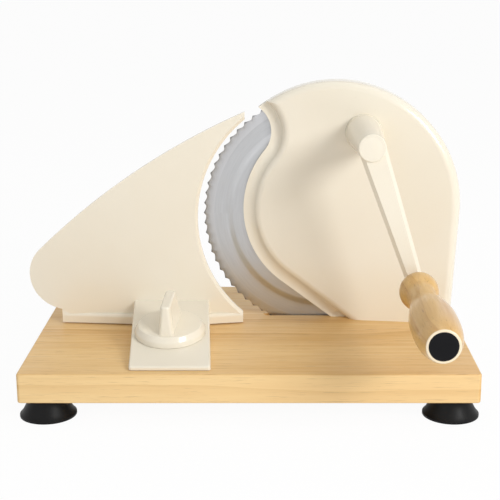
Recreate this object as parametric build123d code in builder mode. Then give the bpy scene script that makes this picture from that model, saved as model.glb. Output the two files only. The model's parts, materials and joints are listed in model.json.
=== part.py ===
from build123d import *
import os
from math import acos, atan2, cos, degrees, hypot, pi, radians, sin, sqrt, tan

os.makedirs("parts", exist_ok=True)

# ---------------------------------------------------------------------------
# Driving dimensions, in millimetres and degrees.
# Places are given from the middle of the board's front top edge: x to the
# right, y towards the back, z up from the board's top.
# ---------------------------------------------------------------------------

# General clearances
fixed_gap = 0.02            # between pieces that are pressed or screwed together
running_gap = 0.05          # radial, shaft in bearing
slide_gap = 0.3             # between pieces that slide on one another
end_float = 0.15            # play along an axle

# Board and feet
board_length = 322
board_depth = 215
board_thick = 21.4
board_corner_r = 2.5
board_edge_r = 1.2
foot_height = 15
foot_r = 20
foot_neck_r = 14.3
foot_cup_depth = 4.5
foot_inset_x = 18
foot_inset_y = 18.3
foot_screw_r = 2.0
foot_screw_head_r = 4.5
foot_screw_head_h = 2.6
foot_screw_reach = 12

# Blade
blade_x = 57.9
blade_z = 83.7
blade_y = 135               # front face of the cutting rim
blade_r = 95
blade_thick = 1.5
blade_teeth = 74
tooth_depth = 1.9
tooth_hook = 0.3            # share of the pitch taken by the steep side of a tooth
grind_width = 8
grind_depth = 0.9
dish_outer_r = 76
dish_inner_r = 72
dish_depth = 1.5            # the middle of the blade stands this far in front of the rim
blade_bore_r = 12
slot_gap = 1.8              # between the blade and the slot in the board

# Gear train
gear_module = 2
gear_teeth = 49
pinion_teeth = 23
gear_thick = 6
gear_blade_gap = 0.5
pressure_angle = 20
backlash = 0.16
gear_flange_r = 26
train_angle = 67.4          # direction from the blade's axis to the crank's axis
axle_r = 7
axle_collar_r = 9
axle_collar_h = 1
axle_root_r = 5
axle_root_depth = 4
bush_wall = 2.5
blade_screw_count = 3
blade_screw_circle_r = 19
blade_screw_r = 1.5
blade_screw_head_r = 3
blade_screw_head_h = 1.2
blade_nut_r = 13
blade_nut_h = 1.2
blade_nut_shank_r = 4
coin_slot_width = 1.8
coin_slot_depth = 0.6
web_recess = 1.5            # the gear's web is thinner than its rim and hub
web_outer_r = 41
web_inner_r = 24

# Housing
crown_x = 65.4
crown_z = 93.2
crown_r = 95.0
side_lean = 2.6             # the right side leans in towards its foot
lip_x = 66.6
lip_z = 88.3
lip_r = 72.4
lip_end_angle = 233
notch_x = -6.9
notch_z = 148.7
lip_band = 8                # width of the thin lip beside the blade
lip_thick = 2.5
lip_gap = 1.0               # between the lip and the blade's dished middle
wall = 2.5
face_left_y = 125.5         # front face at the board, at x = face_left_x
face_left_x = -30
face_mid_y = 122
face_mid_x = 70
face_right_y = 107.5
face_right_x = 175
face_lean = 1.5             # the front face leans forward as it rises
rim_fillet = 6.5
lip_cove_fillet = 2
hollow_fillet = 2.8          # inside the rim and the crest
cover_thick = 2
blade_to_cover = 1.3
cover_screw_r = 1.25
cover_screw_head_r = 2.3
cover_screw_head_h = 1.0
cover_screw_reach = 8
cover_boss_r = 3
cover_screw_angles = [100, 62, 24]
cover_corner_screw = (148, 12)
axle_boss_r = 11
crank_boss_r = 11
base_screw_r = 1.7
base_screw_head_r = 3.6
base_screw_head_h = 2.4
base_screw_sink = 6
base_screw_reach = 10
base_boss_r = 4
base_boss_height = 13

# Crank
shaft_r = 5
shaft_flat = 8              # across the two flats at each end
tube_wall = 2.45
tube_front_y = 72
tube_back_y = 123
collar_r = 14
collar_front_y = 113.4
hub_front_y = 42.5
hub_front_r = 9.8
hub_back_r = 13.6
hub_collar_gap = 0.5
arm_front_y = 44
arm_thick = 7
arm_length = 105.9
arm_lean = 18.85            # from straight down towards the right
arm_grip_r = 6
arm_bevel = 2.6
cap_r = 7.6
cap_thick = 1.2
cap_crown = 0.5
hub_edge = 0.6
arm_edge_r = 1.5
socket_web = 1.3            # metal between a screw's seat and the end of the shaft
washer_r = 4.7
crank_screw_r = 2.5
crank_screw_head_r = 4.3
crank_screw_head_h = 3
crank_screw_reach = 12
crank_washer_h = 0.8
thrust_washer_h = 1.2
thrust_washer_r = 9
pinion_screw_r = 2
pinion_screw_head_r = 3.8
pinion_screw_head_h = 2.2
pinion_screw_reach = 10

# Grip
ball_r = 14
ball_to_arm = 11.4          # ball's centre to the flat behind it
neck_r = 9.6
belly_r = 15.65
grip_end_r = 10.8
ball_to_neck = 17
ball_to_belly = 75
ball_to_end = 116.7
ball_join_angle = 36        # where the ball runs into the neck
grip_end_taper = 24         # slope of the side at the grip's end
grip_edge_r = 1.0
pin_r = 3
pin_head_r = 6
pin_head_h = 2.5
pin_head_sink = 9
pin_root = 6
plug_r = 9.4
plug_depth = 6
plug_proud = 0.6

# Stop plate and its foot
plate_front_y = 112.6
plate_thick = 5
plate_bottom_z = 1.1
nose_overhang = 10.5
nose_r = 25
nose_z = 40.6
chin_x = -147.5
chin_z = 12
brow_x = -162.6
brow_z = 60.2
back_x = -91.4
back_z = 118
tip_x = -4.3
tip_z = 166.1
plate_edge_gap = 3.5        # between the blade's teeth and the plate's hollow edge
plate_end_x = -6.2
plate_bevel = 2.2
flange_height = 7.5
flange_proud = 4.7
tray_front_y = 7.1
tray_front_left = -83.8
tray_front_right = -26.6
tray_back_left = -91
tray_back_right = -32.6
tray_lip = 3
tray_slope = 8.5
tray_wall = 3
tray_gap = 0.4
tray_hollow_y = 22
tray_corner_r = 2
tray_edge_r = 1.5
flange_edge_r = 2.5

# Thickness dial with its rack
dial_x = -58.7
dial_y = 58.6
dial_r = 26
dial_rim_h = 3
dial_shoulder = 2.7
dial_h = 7.5
fin_length = 42
fin_width = 12.5
fin_top_length = 30
fin_top_forward = 4         # the fin's top is nearer its front than its foot
fin_top_width = 7
fin_height = 29
fin_turn = -4
dial_gap = 0.3
dial_bore_depth = 15
spindle_r = 4
spindle_nose_r = 3
dial_top_edge_r = 1.2
fin_corner_r = 3
fin_edge_r = 1.6
spindle_boss_r = 8
spindle_boss_h = 7
rack_module = 1
rack_pinion_teeth = 12
rack_pinion_h = 5
rack_pinion_drop = 9.5      # top of the small pinion below the sloping top
rack_back = 8
rack_addendum = 0.8
rack_thinning = 0.14        # taken off each flank of a rack tooth
rack_front_y = 45
rack_back_y = 86
rack_top_z = 1.5
rack_screw_r = 1.3
rack_screw_head_r = 2.4
rack_screw_head_h = 1.4
pocket_depth = 8
pocket_margin = 3
dial_screw_r = 1.5
dial_screw_head_r = 3
dial_screw_head_h = 1.4
dial_screw_reach = 9
wave_washer_r = 8
wave_washer_h = 0.8

# Guide rail and shoe
rail_x = -40
rail_width = 14
rail_wall = 1.5
rail_slot = 6
rail_front_y = 30
rail_back_y = 108
shoe_length = 48
shoe_middle_y = 64
shoe_head_h = 3.6
shoe_top_z = 2
shoe_screw_r = 1.4
shoe_screw_head_r = 2.4
shoe_screw_head_h = 1.5
shoe_screw_reach = 5
shoe_post_r = 4
rail_screw_r = 1.5
rail_screw_reach = 8

# ---------------------------------------------------------------------------
# Places that follow from them
# ---------------------------------------------------------------------------

board_top = foot_height + board_thick
grip_x = arm_length * sin(radians(arm_lean))
grip_z = -arm_length * cos(radians(arm_lean))
ball_y = arm_front_y - slide_gap - ball_to_arm
grip_end_y = ball_y - ball_to_end
board_cx = (nose_overhang - (foot_r - foot_inset_x)) / 2
board_front = -(board_depth + foot_r - foot_inset_y + grip_end_y - plug_proud) / 2

train_distance = gear_module * (gear_teeth + pinion_teeth) / 2
crank_x = blade_x + train_distance * cos(radians(train_angle))
crank_z = blade_z + train_distance * sin(radians(train_angle))

inner_blade_y = blade_y - dish_depth
blade_back_y = blade_y + blade_thick
gear_back_y = inner_blade_y - gear_blade_gap
gear_front_y = gear_back_y - gear_thick
cover_front_y = blade_back_y - cover_thick
lip_back_y = inner_blade_y - lip_gap
notch_r = hypot(notch_x - lip_x, notch_z - lip_z) - lip_r
hub_back_y = collar_front_y - hub_collar_gap
hollow_r = blade_r + plate_edge_gap
foot_top_z = plate_bottom_z + flange_height
plate_low_x = min(plate_end_x, blade_x - sqrt(hollow_r**2 - (blade_z - foot_top_z) ** 2))


def point(x, y, z):
    """A place given from the board's front top edge, in the part's frame."""
    return (board_cx + x, board_front + y, board_top + z)


def upright(y, x=0, z=0):
    """Plane facing the user at depth y: local x is right, local y is up, the normal is forward."""
    return Plane(origin=point(x, y, z), x_dir=(1, 0, 0), z_dir=(0, -1, 0))


def rearward(y, x=0, z=0):
    """Plane facing away from the user at depth y."""
    return Plane(origin=point(x, y, z), x_dir=(-1, 0, 0), z_dir=(0, 1, 0))


def level(z, x=0, y=0):
    """Horizontal plane at height z: local x is right, local y is back."""
    return Plane(origin=point(x, y, z), x_dir=(1, 0, 0), z_dir=(0, 0, 1))


def section(x, z):
    """Plane through an axis that runs front to back: local x is the radius, local y is the depth."""
    return level(z, x, 0)


def depth_axis(x, z):
    """The axis itself."""
    return Axis(point(x, 0, z), (0, 1, 0))


def polar(cx, cy, r, angle):
    return (cx + r * cos(radians(angle)), cy + r * sin(radians(angle)))


def lathe(x, z, profile):
    """A turned solid about a front-to-back axis from (radius, depth) points."""
    with BuildSketch(section(x, z)) as half:
        with BuildLine():
            Polyline(*profile, close=True)
        make_face()
    revolve(half.sketch, axis=depth_axis(x, z))


def drill(x, z, radius, y_front, y_back):
    """A round hole along the depth from y_front to y_back."""
    with BuildSketch(upright(y_back, x, z)) as hole:
        Circle(radius)
    extrude(hole.sketch, amount=y_back - y_front, mode=Mode.SUBTRACT)


def finish(builder, name):
    builder.part.label = name
    export_step(builder.part, "parts/" + name + ".step")


def screw(plane, shank_r, reach, head_r, head_h, sunk=0.0):
    """Pan or countersunk screw: the plane lies under the head, its normal points out of the head."""
    with BuildSketch(plane) as shank:
        Circle(shank_r)
    extrude(shank.sketch, amount=-reach)
    with BuildSketch(plane) as head:
        Circle(head_r)
    if sunk:
        with BuildSketch(plane.offset(-sunk)) as neck:
            Circle(shank_r)
        loft([neck.sketch, head.sketch])
    else:
        extrude(head.sketch, amount=head_h)
        rim_edge = edges().filter_by(GeomType.CIRCLE).sort_by_distance(plane.offset(head_h).origin)
        fillet(rim_edge.filter_by(lambda e: abs(e.radius - head_r) < 0.01)[0], head_h * 0.45)


def gear_outline(teeth, module, phase):
    """Involute spur gear with a tooth centred on the angle phase."""
    pitch_r = teeth * module / 2
    base_r = pitch_r * cos(radians(pressure_angle))
    tip_r = pitch_r + module
    root_r = pitch_r - 1.25 * module
    half_tooth = (pi * module / 2 - backlash) / (2 * pitch_r)
    pitch_roll = tan(radians(pressure_angle)) - radians(pressure_angle)

    def flank(r):
        turn = acos(base_r / max(r, base_r))
        return degrees(half_tooth + pitch_roll - (tan(turn) - turn))

    with BuildLine() as rim:
        for n in range(teeth):
            middle = phase + n * 360 / teeth
            following = middle + 360 / teeth
            rise = [polar(0, 0, r, middle - flank(r)) for r in (root_r, pitch_r, tip_r)]
            fall = [polar(0, 0, r, middle + flank(r)) for r in (tip_r, pitch_r, root_r)]
            ThreePointArc(*rise)
            Line(rise[-1], fall[0])
            ThreePointArc(*fall)
            Line(fall[-1], polar(0, 0, root_r, following - flank(root_r)))
    make_face(rim.edges())


def circles_meet(x0, y0, r0, x1, y1, r1):
    """The upper crossing of two circles."""
    apart = hypot(x1 - x0, y1 - y0)
    along = (apart**2 + r0**2 - r1**2) / (2 * apart)
    aside = sqrt(r0**2 - along**2)
    ux = (x1 - x0) / apart
    uy = (y1 - y0) / apart
    crossings = [(x0 + ux * along - side * uy * aside, y0 + uy * along + side * ux * aside) for side in (-1, 1)]
    return max(crossings, key=lambda p: p[1])


def angle_at(cx, cy, p):
    return degrees(atan2(p[1] - cy, p[0] - cx)) % 360


def housing_outline(lip_inset, rim_inset, base_inset):
    """Front view of the housing: crown arc, straight right side, board line and the S-shaped lip."""
    crown = crown_r - rim_inset
    notch = notch_r + lip_inset
    lip = lip_r - lip_inset
    beak = circles_meet(crown_x, crown_z, crown, notch_x, notch_z, notch)
    toward_notch = angle_at(lip_x, lip_z, (notch_x, notch_z))
    turn = polar(lip_x, lip_z, lip, toward_notch)
    low = polar(lip_x, lip_z, lip, lip_end_angle)
    run = (low[1] - base_inset) / tan(radians(270 - lip_end_angle))
    toe = (low[0] + run, base_inset)
    shoulder = polar(crown_x, crown_z, crown, -side_lean)
    heel = (shoulder[0] - (shoulder[1] - base_inset) * tan(radians(side_lean)), base_inset)
    crown_mid = (angle_at(crown_x, crown_z, beak) - side_lean) / 2
    notch_mid = (angle_at(notch_x, notch_z, beak) + toward_notch - 180) / 2
    with BuildLine() as path:
        Line(toe, heel)
        Line(heel, shoulder)
        ThreePointArc(shoulder, polar(crown_x, crown_z, crown, crown_mid), beak)
        ThreePointArc(beak, polar(notch_x, notch_z, notch, notch_mid), turn)
        ThreePointArc(turn, polar(lip_x, lip_z, lip, (toward_notch + lip_end_angle) / 2), low)
        Line(low, toe)
    make_face(path.edges())


def beside_body(edge):
    """True for an edge on the front of the thin lip, where the body rises from it."""
    middle = edge @ 0.5
    x = middle.X - board_cx
    z = middle.Z - board_top
    at_lip = abs(hypot(x - lip_x, z - lip_z) - lip_r + lip_band) < rim_fillet / 2
    at_notch = abs(hypot(x - notch_x, z - notch_z) - notch_r - lip_band) < rim_fillet / 2
    on_front = all(abs((edge @ t).Y - board_front - lip_back_y + lip_thick) < 0.01 for t in (0, 0.5, 1))
    return on_front and (at_lip or at_notch)


def face_cut(inset):
    """Everything in front of the housing's curved, leaning front face."""
    lean = (0, -sin(radians(face_lean)), cos(radians(face_lean)))
    leaning = Plane(origin=point(0, 0, 0), x_dir=(1, 0, 0), z_dir=lean).offset(-board_thick)
    with BuildSketch(leaning) as front:
        with BuildLine():
            left = (face_left_x, face_left_y + inset)
            right = (face_right_x, face_right_y + inset)
            ThreePointArc(left, (face_mid_x, face_mid_y + inset), right)
            Polyline(right, (face_right_x, 0), (face_left_x, 0), left)
        make_face()
    extrude(front.sketch, amount=crown_z + crown_r + 2 * board_thick, mode=Mode.SUBTRACT)


# ---------------------------------------------------------------------------
# Board, feet and what is let into the board
# ---------------------------------------------------------------------------

foot_places = [
    (side * (board_length / 2 - foot_inset_x), y)
    for y in (foot_inset_y, board_depth - foot_inset_y)
    for side in (-1, 1)
]
slot_half = sqrt((blade_r + slot_gap) ** 2 - blade_z**2)
base_screws = [(94, 128.6), (121, 126), (147, 122)]
pocket_left = dial_x - rack_module * rack_pinion_teeth / 2 - rack_back - fixed_gap
pocket_right = dial_x + rack_module * (rack_pinion_teeth / 2 + 1) + pocket_margin
rail_screw_ys = [rail_front_y + 5, rail_back_y - 3]
rack_screw_ys = [rack_front_y + 6, rack_back_y - 6]

with BuildPart() as base_board:
    with BuildSketch(level(-board_thick)):
        with Locations((0, board_depth / 2)):
            RectangleRounded(board_length, board_depth, board_corner_r)
    extrude(amount=board_thick)
    top_and_bottom = faces().sort_by(Axis.Z)[0].edges() + faces().sort_by(Axis.Z)[-1].edges()
    fillet(top_and_bottom, board_edge_r)
    # round-bottomed slot for the blade's lower edge
    with BuildSketch(upright(blade_back_y + slot_gap, blade_x, blade_z)):
        Circle(blade_r + slot_gap)
    extrude(amount=blade_thick + 2 * slot_gap, mode=Mode.SUBTRACT)
    # groove of the guide rail and pocket of the rack
    with BuildSketch(level(0)):
        with Locations((rail_x, (rail_front_y + rail_back_y) / 2)):
            Rectangle(rail_width + 2 * fixed_gap, rail_back_y - rail_front_y + 2 * fixed_gap)
        with Locations(((pocket_left + pocket_right) / 2, (rack_front_y + rack_back_y) / 2)):
            Rectangle(pocket_right - pocket_left, rack_back_y - rack_front_y + 2 * pocket_margin)
    extrude(amount=-pocket_depth, mode=Mode.SUBTRACT)
    with BuildSketch(level(-pocket_depth)):
        with Locations(*[(rail_x, y) for y in rail_screw_ys]):
            Circle(rail_screw_r + fixed_gap)
    extrude(amount=-rail_screw_reach, mode=Mode.SUBTRACT)
    rack_screw_x = dial_x - rack_module * rack_pinion_teeth / 2 - rack_back / 2 - rack_module / 2
    with BuildSketch(level(-pocket_depth)):
        with Locations(*[(rack_screw_x, y) for y in rack_screw_ys]):
            Circle(rack_screw_r + fixed_gap)
    extrude(amount=-rail_screw_reach, mode=Mode.SUBTRACT)
    with BuildSketch(level(-board_thick)):
        with Locations(*foot_places):
            Circle(foot_screw_r + fixed_gap)
    extrude(amount=foot_screw_reach, mode=Mode.SUBTRACT)
    with BuildSketch(level(-board_thick)):
        with Locations(*base_screws):
            Circle(base_screw_r + 4 * fixed_gap)
    extrude(amount=board_thick, mode=Mode.SUBTRACT)
    with BuildSketch(level(-board_thick)):
        with Locations(*base_screws):
            Circle(base_screw_head_r + slide_gap)
    extrude(amount=base_screw_sink, mode=Mode.SUBTRACT)
finish(base_board, "base_board")

# suction foot: flared rubber bell, hollow below, with a passage for its screw
cup_roof = foot_cup_depth + foot_screw_head_h + 1
foot_names = ["front_left", "front_right", "back_left", "back_right"]
for foot_name, (foot_x, foot_y) in zip(foot_names, foot_places):
    with BuildPart() as suction_foot:
        base_z = -board_thick - foot_height
        with BuildSketch(Plane(origin=point(foot_x, foot_y, base_z), x_dir=(1, 0, 0), z_dir=(0, -1, 0))):
            with BuildLine():
                Polyline(
                    (foot_screw_r + fixed_gap, foot_height),
                    (foot_neck_r, foot_height),
                    (foot_neck_r, foot_height - 2),
                )
                Spline(
                    (foot_neck_r, foot_height - 2),
                    (foot_neck_r + 2, foot_height * 0.45),
                    (foot_r, 1.4),
                    tangents=((0.05, -1), (1, -0.9)),
                )
                Polyline(
                    (foot_r, 1.4),
                    (foot_r, 0),
                    (foot_r - 1.6, 0),
                )
                ThreePointArc(
                    (foot_r - 1.6, 0),
                    (foot_neck_r, foot_cup_depth * 0.62),
                    (foot_screw_head_r + slide_gap, foot_cup_depth),
                )
                Polyline(
                    (foot_screw_head_r + slide_gap, foot_cup_depth),
                    (foot_screw_head_r + slide_gap, cup_roof),
                    (foot_screw_r + fixed_gap, cup_roof),
                    (foot_screw_r + fixed_gap, foot_height),
                )
            make_face()
        revolve(axis=Axis(point(foot_x, foot_y, base_z), (0, 0, 1)))
    finish(suction_foot, "suction_foot_" + foot_name)

with BuildPart() as foot_screws:
    for foot_x, foot_y in foot_places:
        seat = Plane(origin=point(foot_x, foot_y, cup_roof - foot_height - board_thick), z_dir=(0, 0, -1))
        reach = foot_height - cup_roof + foot_screw_reach - slide_gap
        screw(seat, foot_screw_r, reach, foot_screw_head_r, foot_screw_head_h)
finish(foot_screws, "foot_screws")

# channel of the slide, flush with the board's top
shoe_head_w = rail_width - 2 * rail_wall - 2 * slide_gap
with BuildPart() as guide_rail:
    with BuildSketch(upright(rail_back_y, rail_x, 0)):
        with Locations((0, -pocket_depth / 2)):
            Rectangle(rail_width, pocket_depth)
            Rectangle(rail_width - 2 * rail_wall, pocket_depth - 2 * rail_wall, mode=Mode.SUBTRACT)
        with Locations((0, -rail_wall / 2)):
            Rectangle(rail_slot, rail_wall, mode=Mode.SUBTRACT)
    extrude(amount=rail_back_y - rail_front_y)
    with BuildSketch(level(-pocket_depth)):
        with Locations(*[(rail_x, y) for y in rail_screw_ys]):
            Circle(rail_screw_r + fixed_gap)
    extrude(amount=rail_wall, mode=Mode.SUBTRACT)
    for y in rail_screw_ys:
        with BuildSketch(level(-pocket_depth, rail_x, y)):
            Circle(rail_screw_r + fixed_gap)
        with BuildSketch(level(rail_wall - pocket_depth, rail_x, y)):
            Circle(rail_screw_r + rail_wall + fixed_gap)
        loft(mode=Mode.SUBTRACT)
finish(guide_rail, "guide_rail")

with BuildPart() as rail_screws:
    for y in rail_screw_ys:
        seat = level(rail_wall - pocket_depth, rail_x, y)
        reach = rail_wall + rail_screw_reach - slide_gap
        screw(seat, rail_screw_r, reach, rail_screw_r + rail_wall, rail_wall, sunk=rail_wall)
finish(rail_screws, "rail_screws")

# ---------------------------------------------------------------------------
# Housing
# ---------------------------------------------------------------------------

axle_seat_y = gear_front_y - end_float - axle_collar_h
crank_boss_back_y = tube_back_y - end_float
cover_screw_ring = crown_r - cover_boss_r - 0.4
cover_screws_at = [polar(crown_x, crown_z, cover_screw_ring, a) for a in cover_screw_angles]
cover_screws_at.append(cover_corner_screw)
body_back_y = cover_front_y - fixed_gap
sweep_r = blade_r + blade_to_cover

# hollow of the housing, with its bosses left standing
with BuildPart() as housing_hollow:
    with BuildSketch(upright(body_back_y)):
        housing_outline(lip_band + wall, wall, wall)
    extrude(amount=cover_front_y / 2)
    face_cut(wall)
    inner_front = faces().filter_by(lambda f: f.normal_at().Y < -0.9).sort_by(SortBy.AREA)[-1]
    fillet(inner_front.edges().sort_by(Axis.Z)[1:], hollow_fillet)
    with BuildSketch(upright(axle_seat_y - fixed_gap, blade_x, blade_z)):
        Circle(axle_boss_r)
    extrude(amount=cover_front_y / 4, mode=Mode.SUBTRACT)
    with BuildSketch(upright(crank_boss_back_y, crank_x, crank_z)):
        Circle(crank_boss_r)
    extrude(amount=cover_front_y / 4, mode=Mode.SUBTRACT)
    with BuildSketch(upright(body_back_y)):
        with Locations(*cover_screws_at):
            Circle(cover_boss_r)
    extrude(amount=cover_front_y / 4, mode=Mode.SUBTRACT)
    with BuildSketch(level(0)):
        with Locations(*base_screws):
            Circle(base_boss_r)
    extrude(amount=base_boss_height, mode=Mode.SUBTRACT)

with BuildPart() as gear_housing:
    # body behind the front face, rounded at its rim and along the crest beside the lip
    with BuildSketch(upright(body_back_y)):
        housing_outline(lip_band, 0, 0)
    extrude(amount=cover_front_y / 2)
    face_cut(0)
    front_face = faces().filter_by(lambda f: f.normal_at().Y < -0.9).sort_by(SortBy.AREA)[-1]
    fillet(front_face.edges().sort_by(Axis.Z)[1:], rim_fillet)
    # thin lip beside the blade, with a cove where it meets the body
    with BuildSketch(upright(lip_back_y)):
        housing_outline(0, 0, 0)
    extrude(amount=lip_thick)
    cove = edges().filter_by(beside_body)
    fillet(cove, lip_cove_fillet)
    # raised collar round the crank's bearing
    with BuildSketch(upright(crank_boss_back_y, crank_x, crank_z)):
        Circle(collar_r)
    extrude(amount=crank_boss_back_y - collar_front_y)
    add(housing_hollow.part, mode=Mode.SUBTRACT)
    # room for the blade behind the lip
    drill(blade_x, blade_z, sweep_r, lip_back_y, cover_front_y)
    # seats of the axle, the bearing tube and the screws
    drill(blade_x, blade_z, axle_root_r + fixed_gap, axle_seat_y - axle_root_depth, axle_seat_y)
    drill(crank_x, crank_z, shaft_r + running_gap + tube_wall + fixed_gap, collar_front_y - 1, tube_back_y)
    for x, z in cover_screws_at:
        drill(x, z, cover_screw_r + fixed_gap, blade_back_y - cover_screw_reach - slide_gap, cover_front_y)
    with BuildSketch(level(0)):
        with Locations(*base_screws):
            Circle(base_screw_r + fixed_gap)
    extrude(amount=base_screw_reach + slide_gap, mode=Mode.SUBTRACT)
finish(gear_housing, "gear_housing")

with BuildPart() as rear_cover:
    with BuildSketch(upright(blade_back_y)):
        housing_outline(0, 0, 0)
    extrude(amount=cover_thick)
    drill(blade_x, blade_z, sweep_r, cover_front_y - 1, blade_back_y + 1)
    for x, z in cover_screws_at:
        with BuildSketch(upright(blade_back_y, x, z)):
            Circle(cover_screw_head_r + fixed_gap)
        with BuildSketch(upright(blade_back_y - cover_screw_head_h, x, z)):
            Circle(cover_screw_r + fixed_gap)
        loft(mode=Mode.SUBTRACT)
        drill(x, z, cover_screw_r + fixed_gap, cover_front_y - 1, blade_back_y)
finish(rear_cover, "rear_cover")

with BuildPart() as cover_screws:
    for x, z in cover_screws_at:
        seat = rearward(blade_back_y, x, z)
        screw(seat, cover_screw_r, cover_screw_reach, cover_screw_head_r, 0, sunk=cover_screw_head_h)
finish(cover_screws, "cover_screws")

with BuildPart() as housing_screws:
    for x, y in base_screws:
        seat = Plane(origin=point(x, y, base_screw_sink - board_thick), z_dir=(0, 0, -1))
        reach = board_thick - base_screw_sink + base_screw_reach
        screw(seat, base_screw_r, reach, base_screw_head_r, base_screw_head_h)
finish(housing_screws, "housing_screws")

tube_r = shaft_r + running_gap + tube_wall
with BuildPart() as bearing_tube:
    tube_edge = 0.4
    lathe(
        crank_x,
        crank_z,
        [
            (shaft_r + running_gap, tube_front_y),
            (tube_r - tube_edge, tube_front_y),
            (tube_r, tube_front_y + tube_edge),
            (tube_r, tube_back_y),
            (shaft_r + running_gap, tube_back_y),
        ],
    )
finish(bearing_tube, "bearing_tube")

# ---------------------------------------------------------------------------
# Blade on its gear, axle and bush
# ---------------------------------------------------------------------------

nut_seat_y = blade_y + 2 * running_gap
spigot_back_y = blade_y - 2 * running_gap
bush_r = axle_r + running_gap + bush_wall
blade_screws_at = [
    polar(blade_x, blade_z, blade_screw_circle_r, 90 + n * 360 / blade_screw_count)
    for n in range(blade_screw_count)
]

with BuildPart() as blade:
    lathe(
        blade_x,
        blade_z,
        [
            (blade_bore_r, inner_blade_y),
            (dish_inner_r, inner_blade_y),
            (dish_outer_r, blade_y),
            (blade_r - grind_width, blade_y),
            (blade_r, blade_y + grind_depth),
            (blade_r, blade_back_y),
            (dish_outer_r, blade_back_y),
            (dish_inner_r, blade_y),
            (blade_bore_r, blade_y),
        ],
    )
    # hooked teeth: steep leading side, long hollow back
    with BuildSketch(upright(blade_back_y, blade_x, blade_z)) as waste:
        Circle(blade_r + tooth_depth)
        pitch = 360 / blade_teeth
        with BuildLine() as teeth:
            for n in range(blade_teeth):
                tip = polar(0, 0, blade_r, n * pitch)
                valley = polar(0, 0, blade_r - tooth_depth, (n + tooth_hook) * pitch)
                mid_back = polar(0, 0, blade_r - 0.66 * tooth_depth, (n + (1 + tooth_hook) / 2) * pitch)
                Line(tip, valley)
                ThreePointArc(valley, mid_back, polar(0, 0, blade_r, (n + 1) * pitch))
        make_face(teeth.edges(), mode=Mode.SUBTRACT)
    extrude(amount=blade_thick, mode=Mode.SUBTRACT)
    for x, z in blade_screws_at:
        drill(x, z, blade_screw_r + 0.2, inner_blade_y - 1, blade_y + 1)
finish(blade, "blade")

with BuildPart() as blade_gear:
    with BuildSketch(upright(gear_back_y, blade_x, blade_z)):
        gear_outline(gear_teeth, gear_module, train_angle)
    extrude(amount=gear_thick)
    with BuildSketch(upright(inner_blade_y - fixed_gap, blade_x, blade_z)):
        Circle(gear_flange_r)
    extrude(amount=gear_blade_gap)
    with BuildSketch(upright(spigot_back_y, blade_x, blade_z)):
        Circle(blade_bore_r - running_gap)
    extrude(amount=spigot_back_y - gear_back_y)
    # thinned web between rim and hub
    with BuildSketch(upright(gear_front_y + web_recess, blade_x, blade_z)):
        Circle(web_outer_r)
        Circle(web_inner_r, mode=Mode.SUBTRACT)
    extrude(amount=web_recess, mode=Mode.SUBTRACT)
    drill(blade_x, blade_z, bush_r + fixed_gap, gear_front_y - 1, spigot_back_y + 1)
    for x, z in blade_screws_at:
        drill(x, z, blade_screw_r + fixed_gap, gear_front_y + 1, inner_blade_y + 1)
finish(blade_gear, "blade_gear")

with BuildPart() as blade_bush:
    lathe(
        blade_x,
        blade_z,
        [
            (axle_r + running_gap, gear_front_y),
            (bush_r, gear_front_y),
            (bush_r, spigot_back_y),
            (axle_r + running_gap, spigot_back_y),
        ],
    )
finish(blade_bush, "blade_bush")

with BuildPart() as blade_screws:
    for x, z in blade_screws_at:
        seat = rearward(blade_y + fixed_gap, x, z)
        reach = blade_y - gear_front_y - 1 - slide_gap
        screw(seat, blade_screw_r, reach, blade_screw_head_r, blade_screw_head_h)
finish(blade_screws, "blade_screws")

nut_reach = nut_seat_y - gear_front_y
with BuildPart() as blade_axle:
    lathe(
        blade_x,
        blade_z,
        [
            (0, axle_seat_y - axle_root_depth + fixed_gap),
            (axle_root_r, axle_seat_y - axle_root_depth + fixed_gap),
            (axle_root_r, axle_seat_y),
            (axle_collar_r, axle_seat_y),
            (axle_collar_r, axle_seat_y + axle_collar_h),
            (axle_r, axle_seat_y + axle_collar_h),
            (axle_r, nut_seat_y - fixed_gap),
            (0, nut_seat_y - fixed_gap),
        ],
    )
    drill(blade_x, blade_z, blade_nut_shank_r + fixed_gap, nut_seat_y - nut_reach - slide_gap, nut_seat_y)
finish(blade_axle, "blade_axle")

with BuildPart() as blade_nut:
    seat = rearward(nut_seat_y, blade_x, blade_z)
    screw(seat, blade_nut_shank_r, nut_reach, blade_nut_r, blade_nut_h)
    with BuildSketch(seat.offset(blade_nut_h)):
        Rectangle(2 * blade_nut_r, coin_slot_width)
    extrude(amount=-coin_slot_depth, mode=Mode.SUBTRACT)
finish(blade_nut, "blade_nut")

# ---------------------------------------------------------------------------
# Crank
# ---------------------------------------------------------------------------

cap_front_y = hub_front_y
cap_seat_y = hub_front_y + cap_thick + fixed_gap
crank_screw_seat_y = cap_seat_y + crank_screw_head_h + slide_gap
socket_floor_y = crank_screw_seat_y + crank_washer_h + fixed_gap + socket_web
shaft_front_y = socket_floor_y + slide_gap
flats_front_end_y = tube_front_y - 6
hub_counterbore_y = tube_front_y - 1
thrust_front_y = tube_back_y + end_float
pinion_front_y = thrust_front_y + thrust_washer_h + fixed_gap
pinion_screw_seat_y = gear_back_y - pinion_screw_head_h
shaft_back_y = pinion_screw_seat_y - socket_web - slide_gap


def flatted(y_front, y_back, grow, mode):
    """Shaft section with two flats between two depths."""
    with BuildSketch(upright(y_back, crank_x, crank_z)) as bar:
        Circle(shaft_r + grow)
        Rectangle(shaft_flat + 2 * grow, 3 * shaft_r, mode=Mode.INTERSECT)
    extrude(bar.sketch, amount=y_back - y_front, mode=mode)


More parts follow.
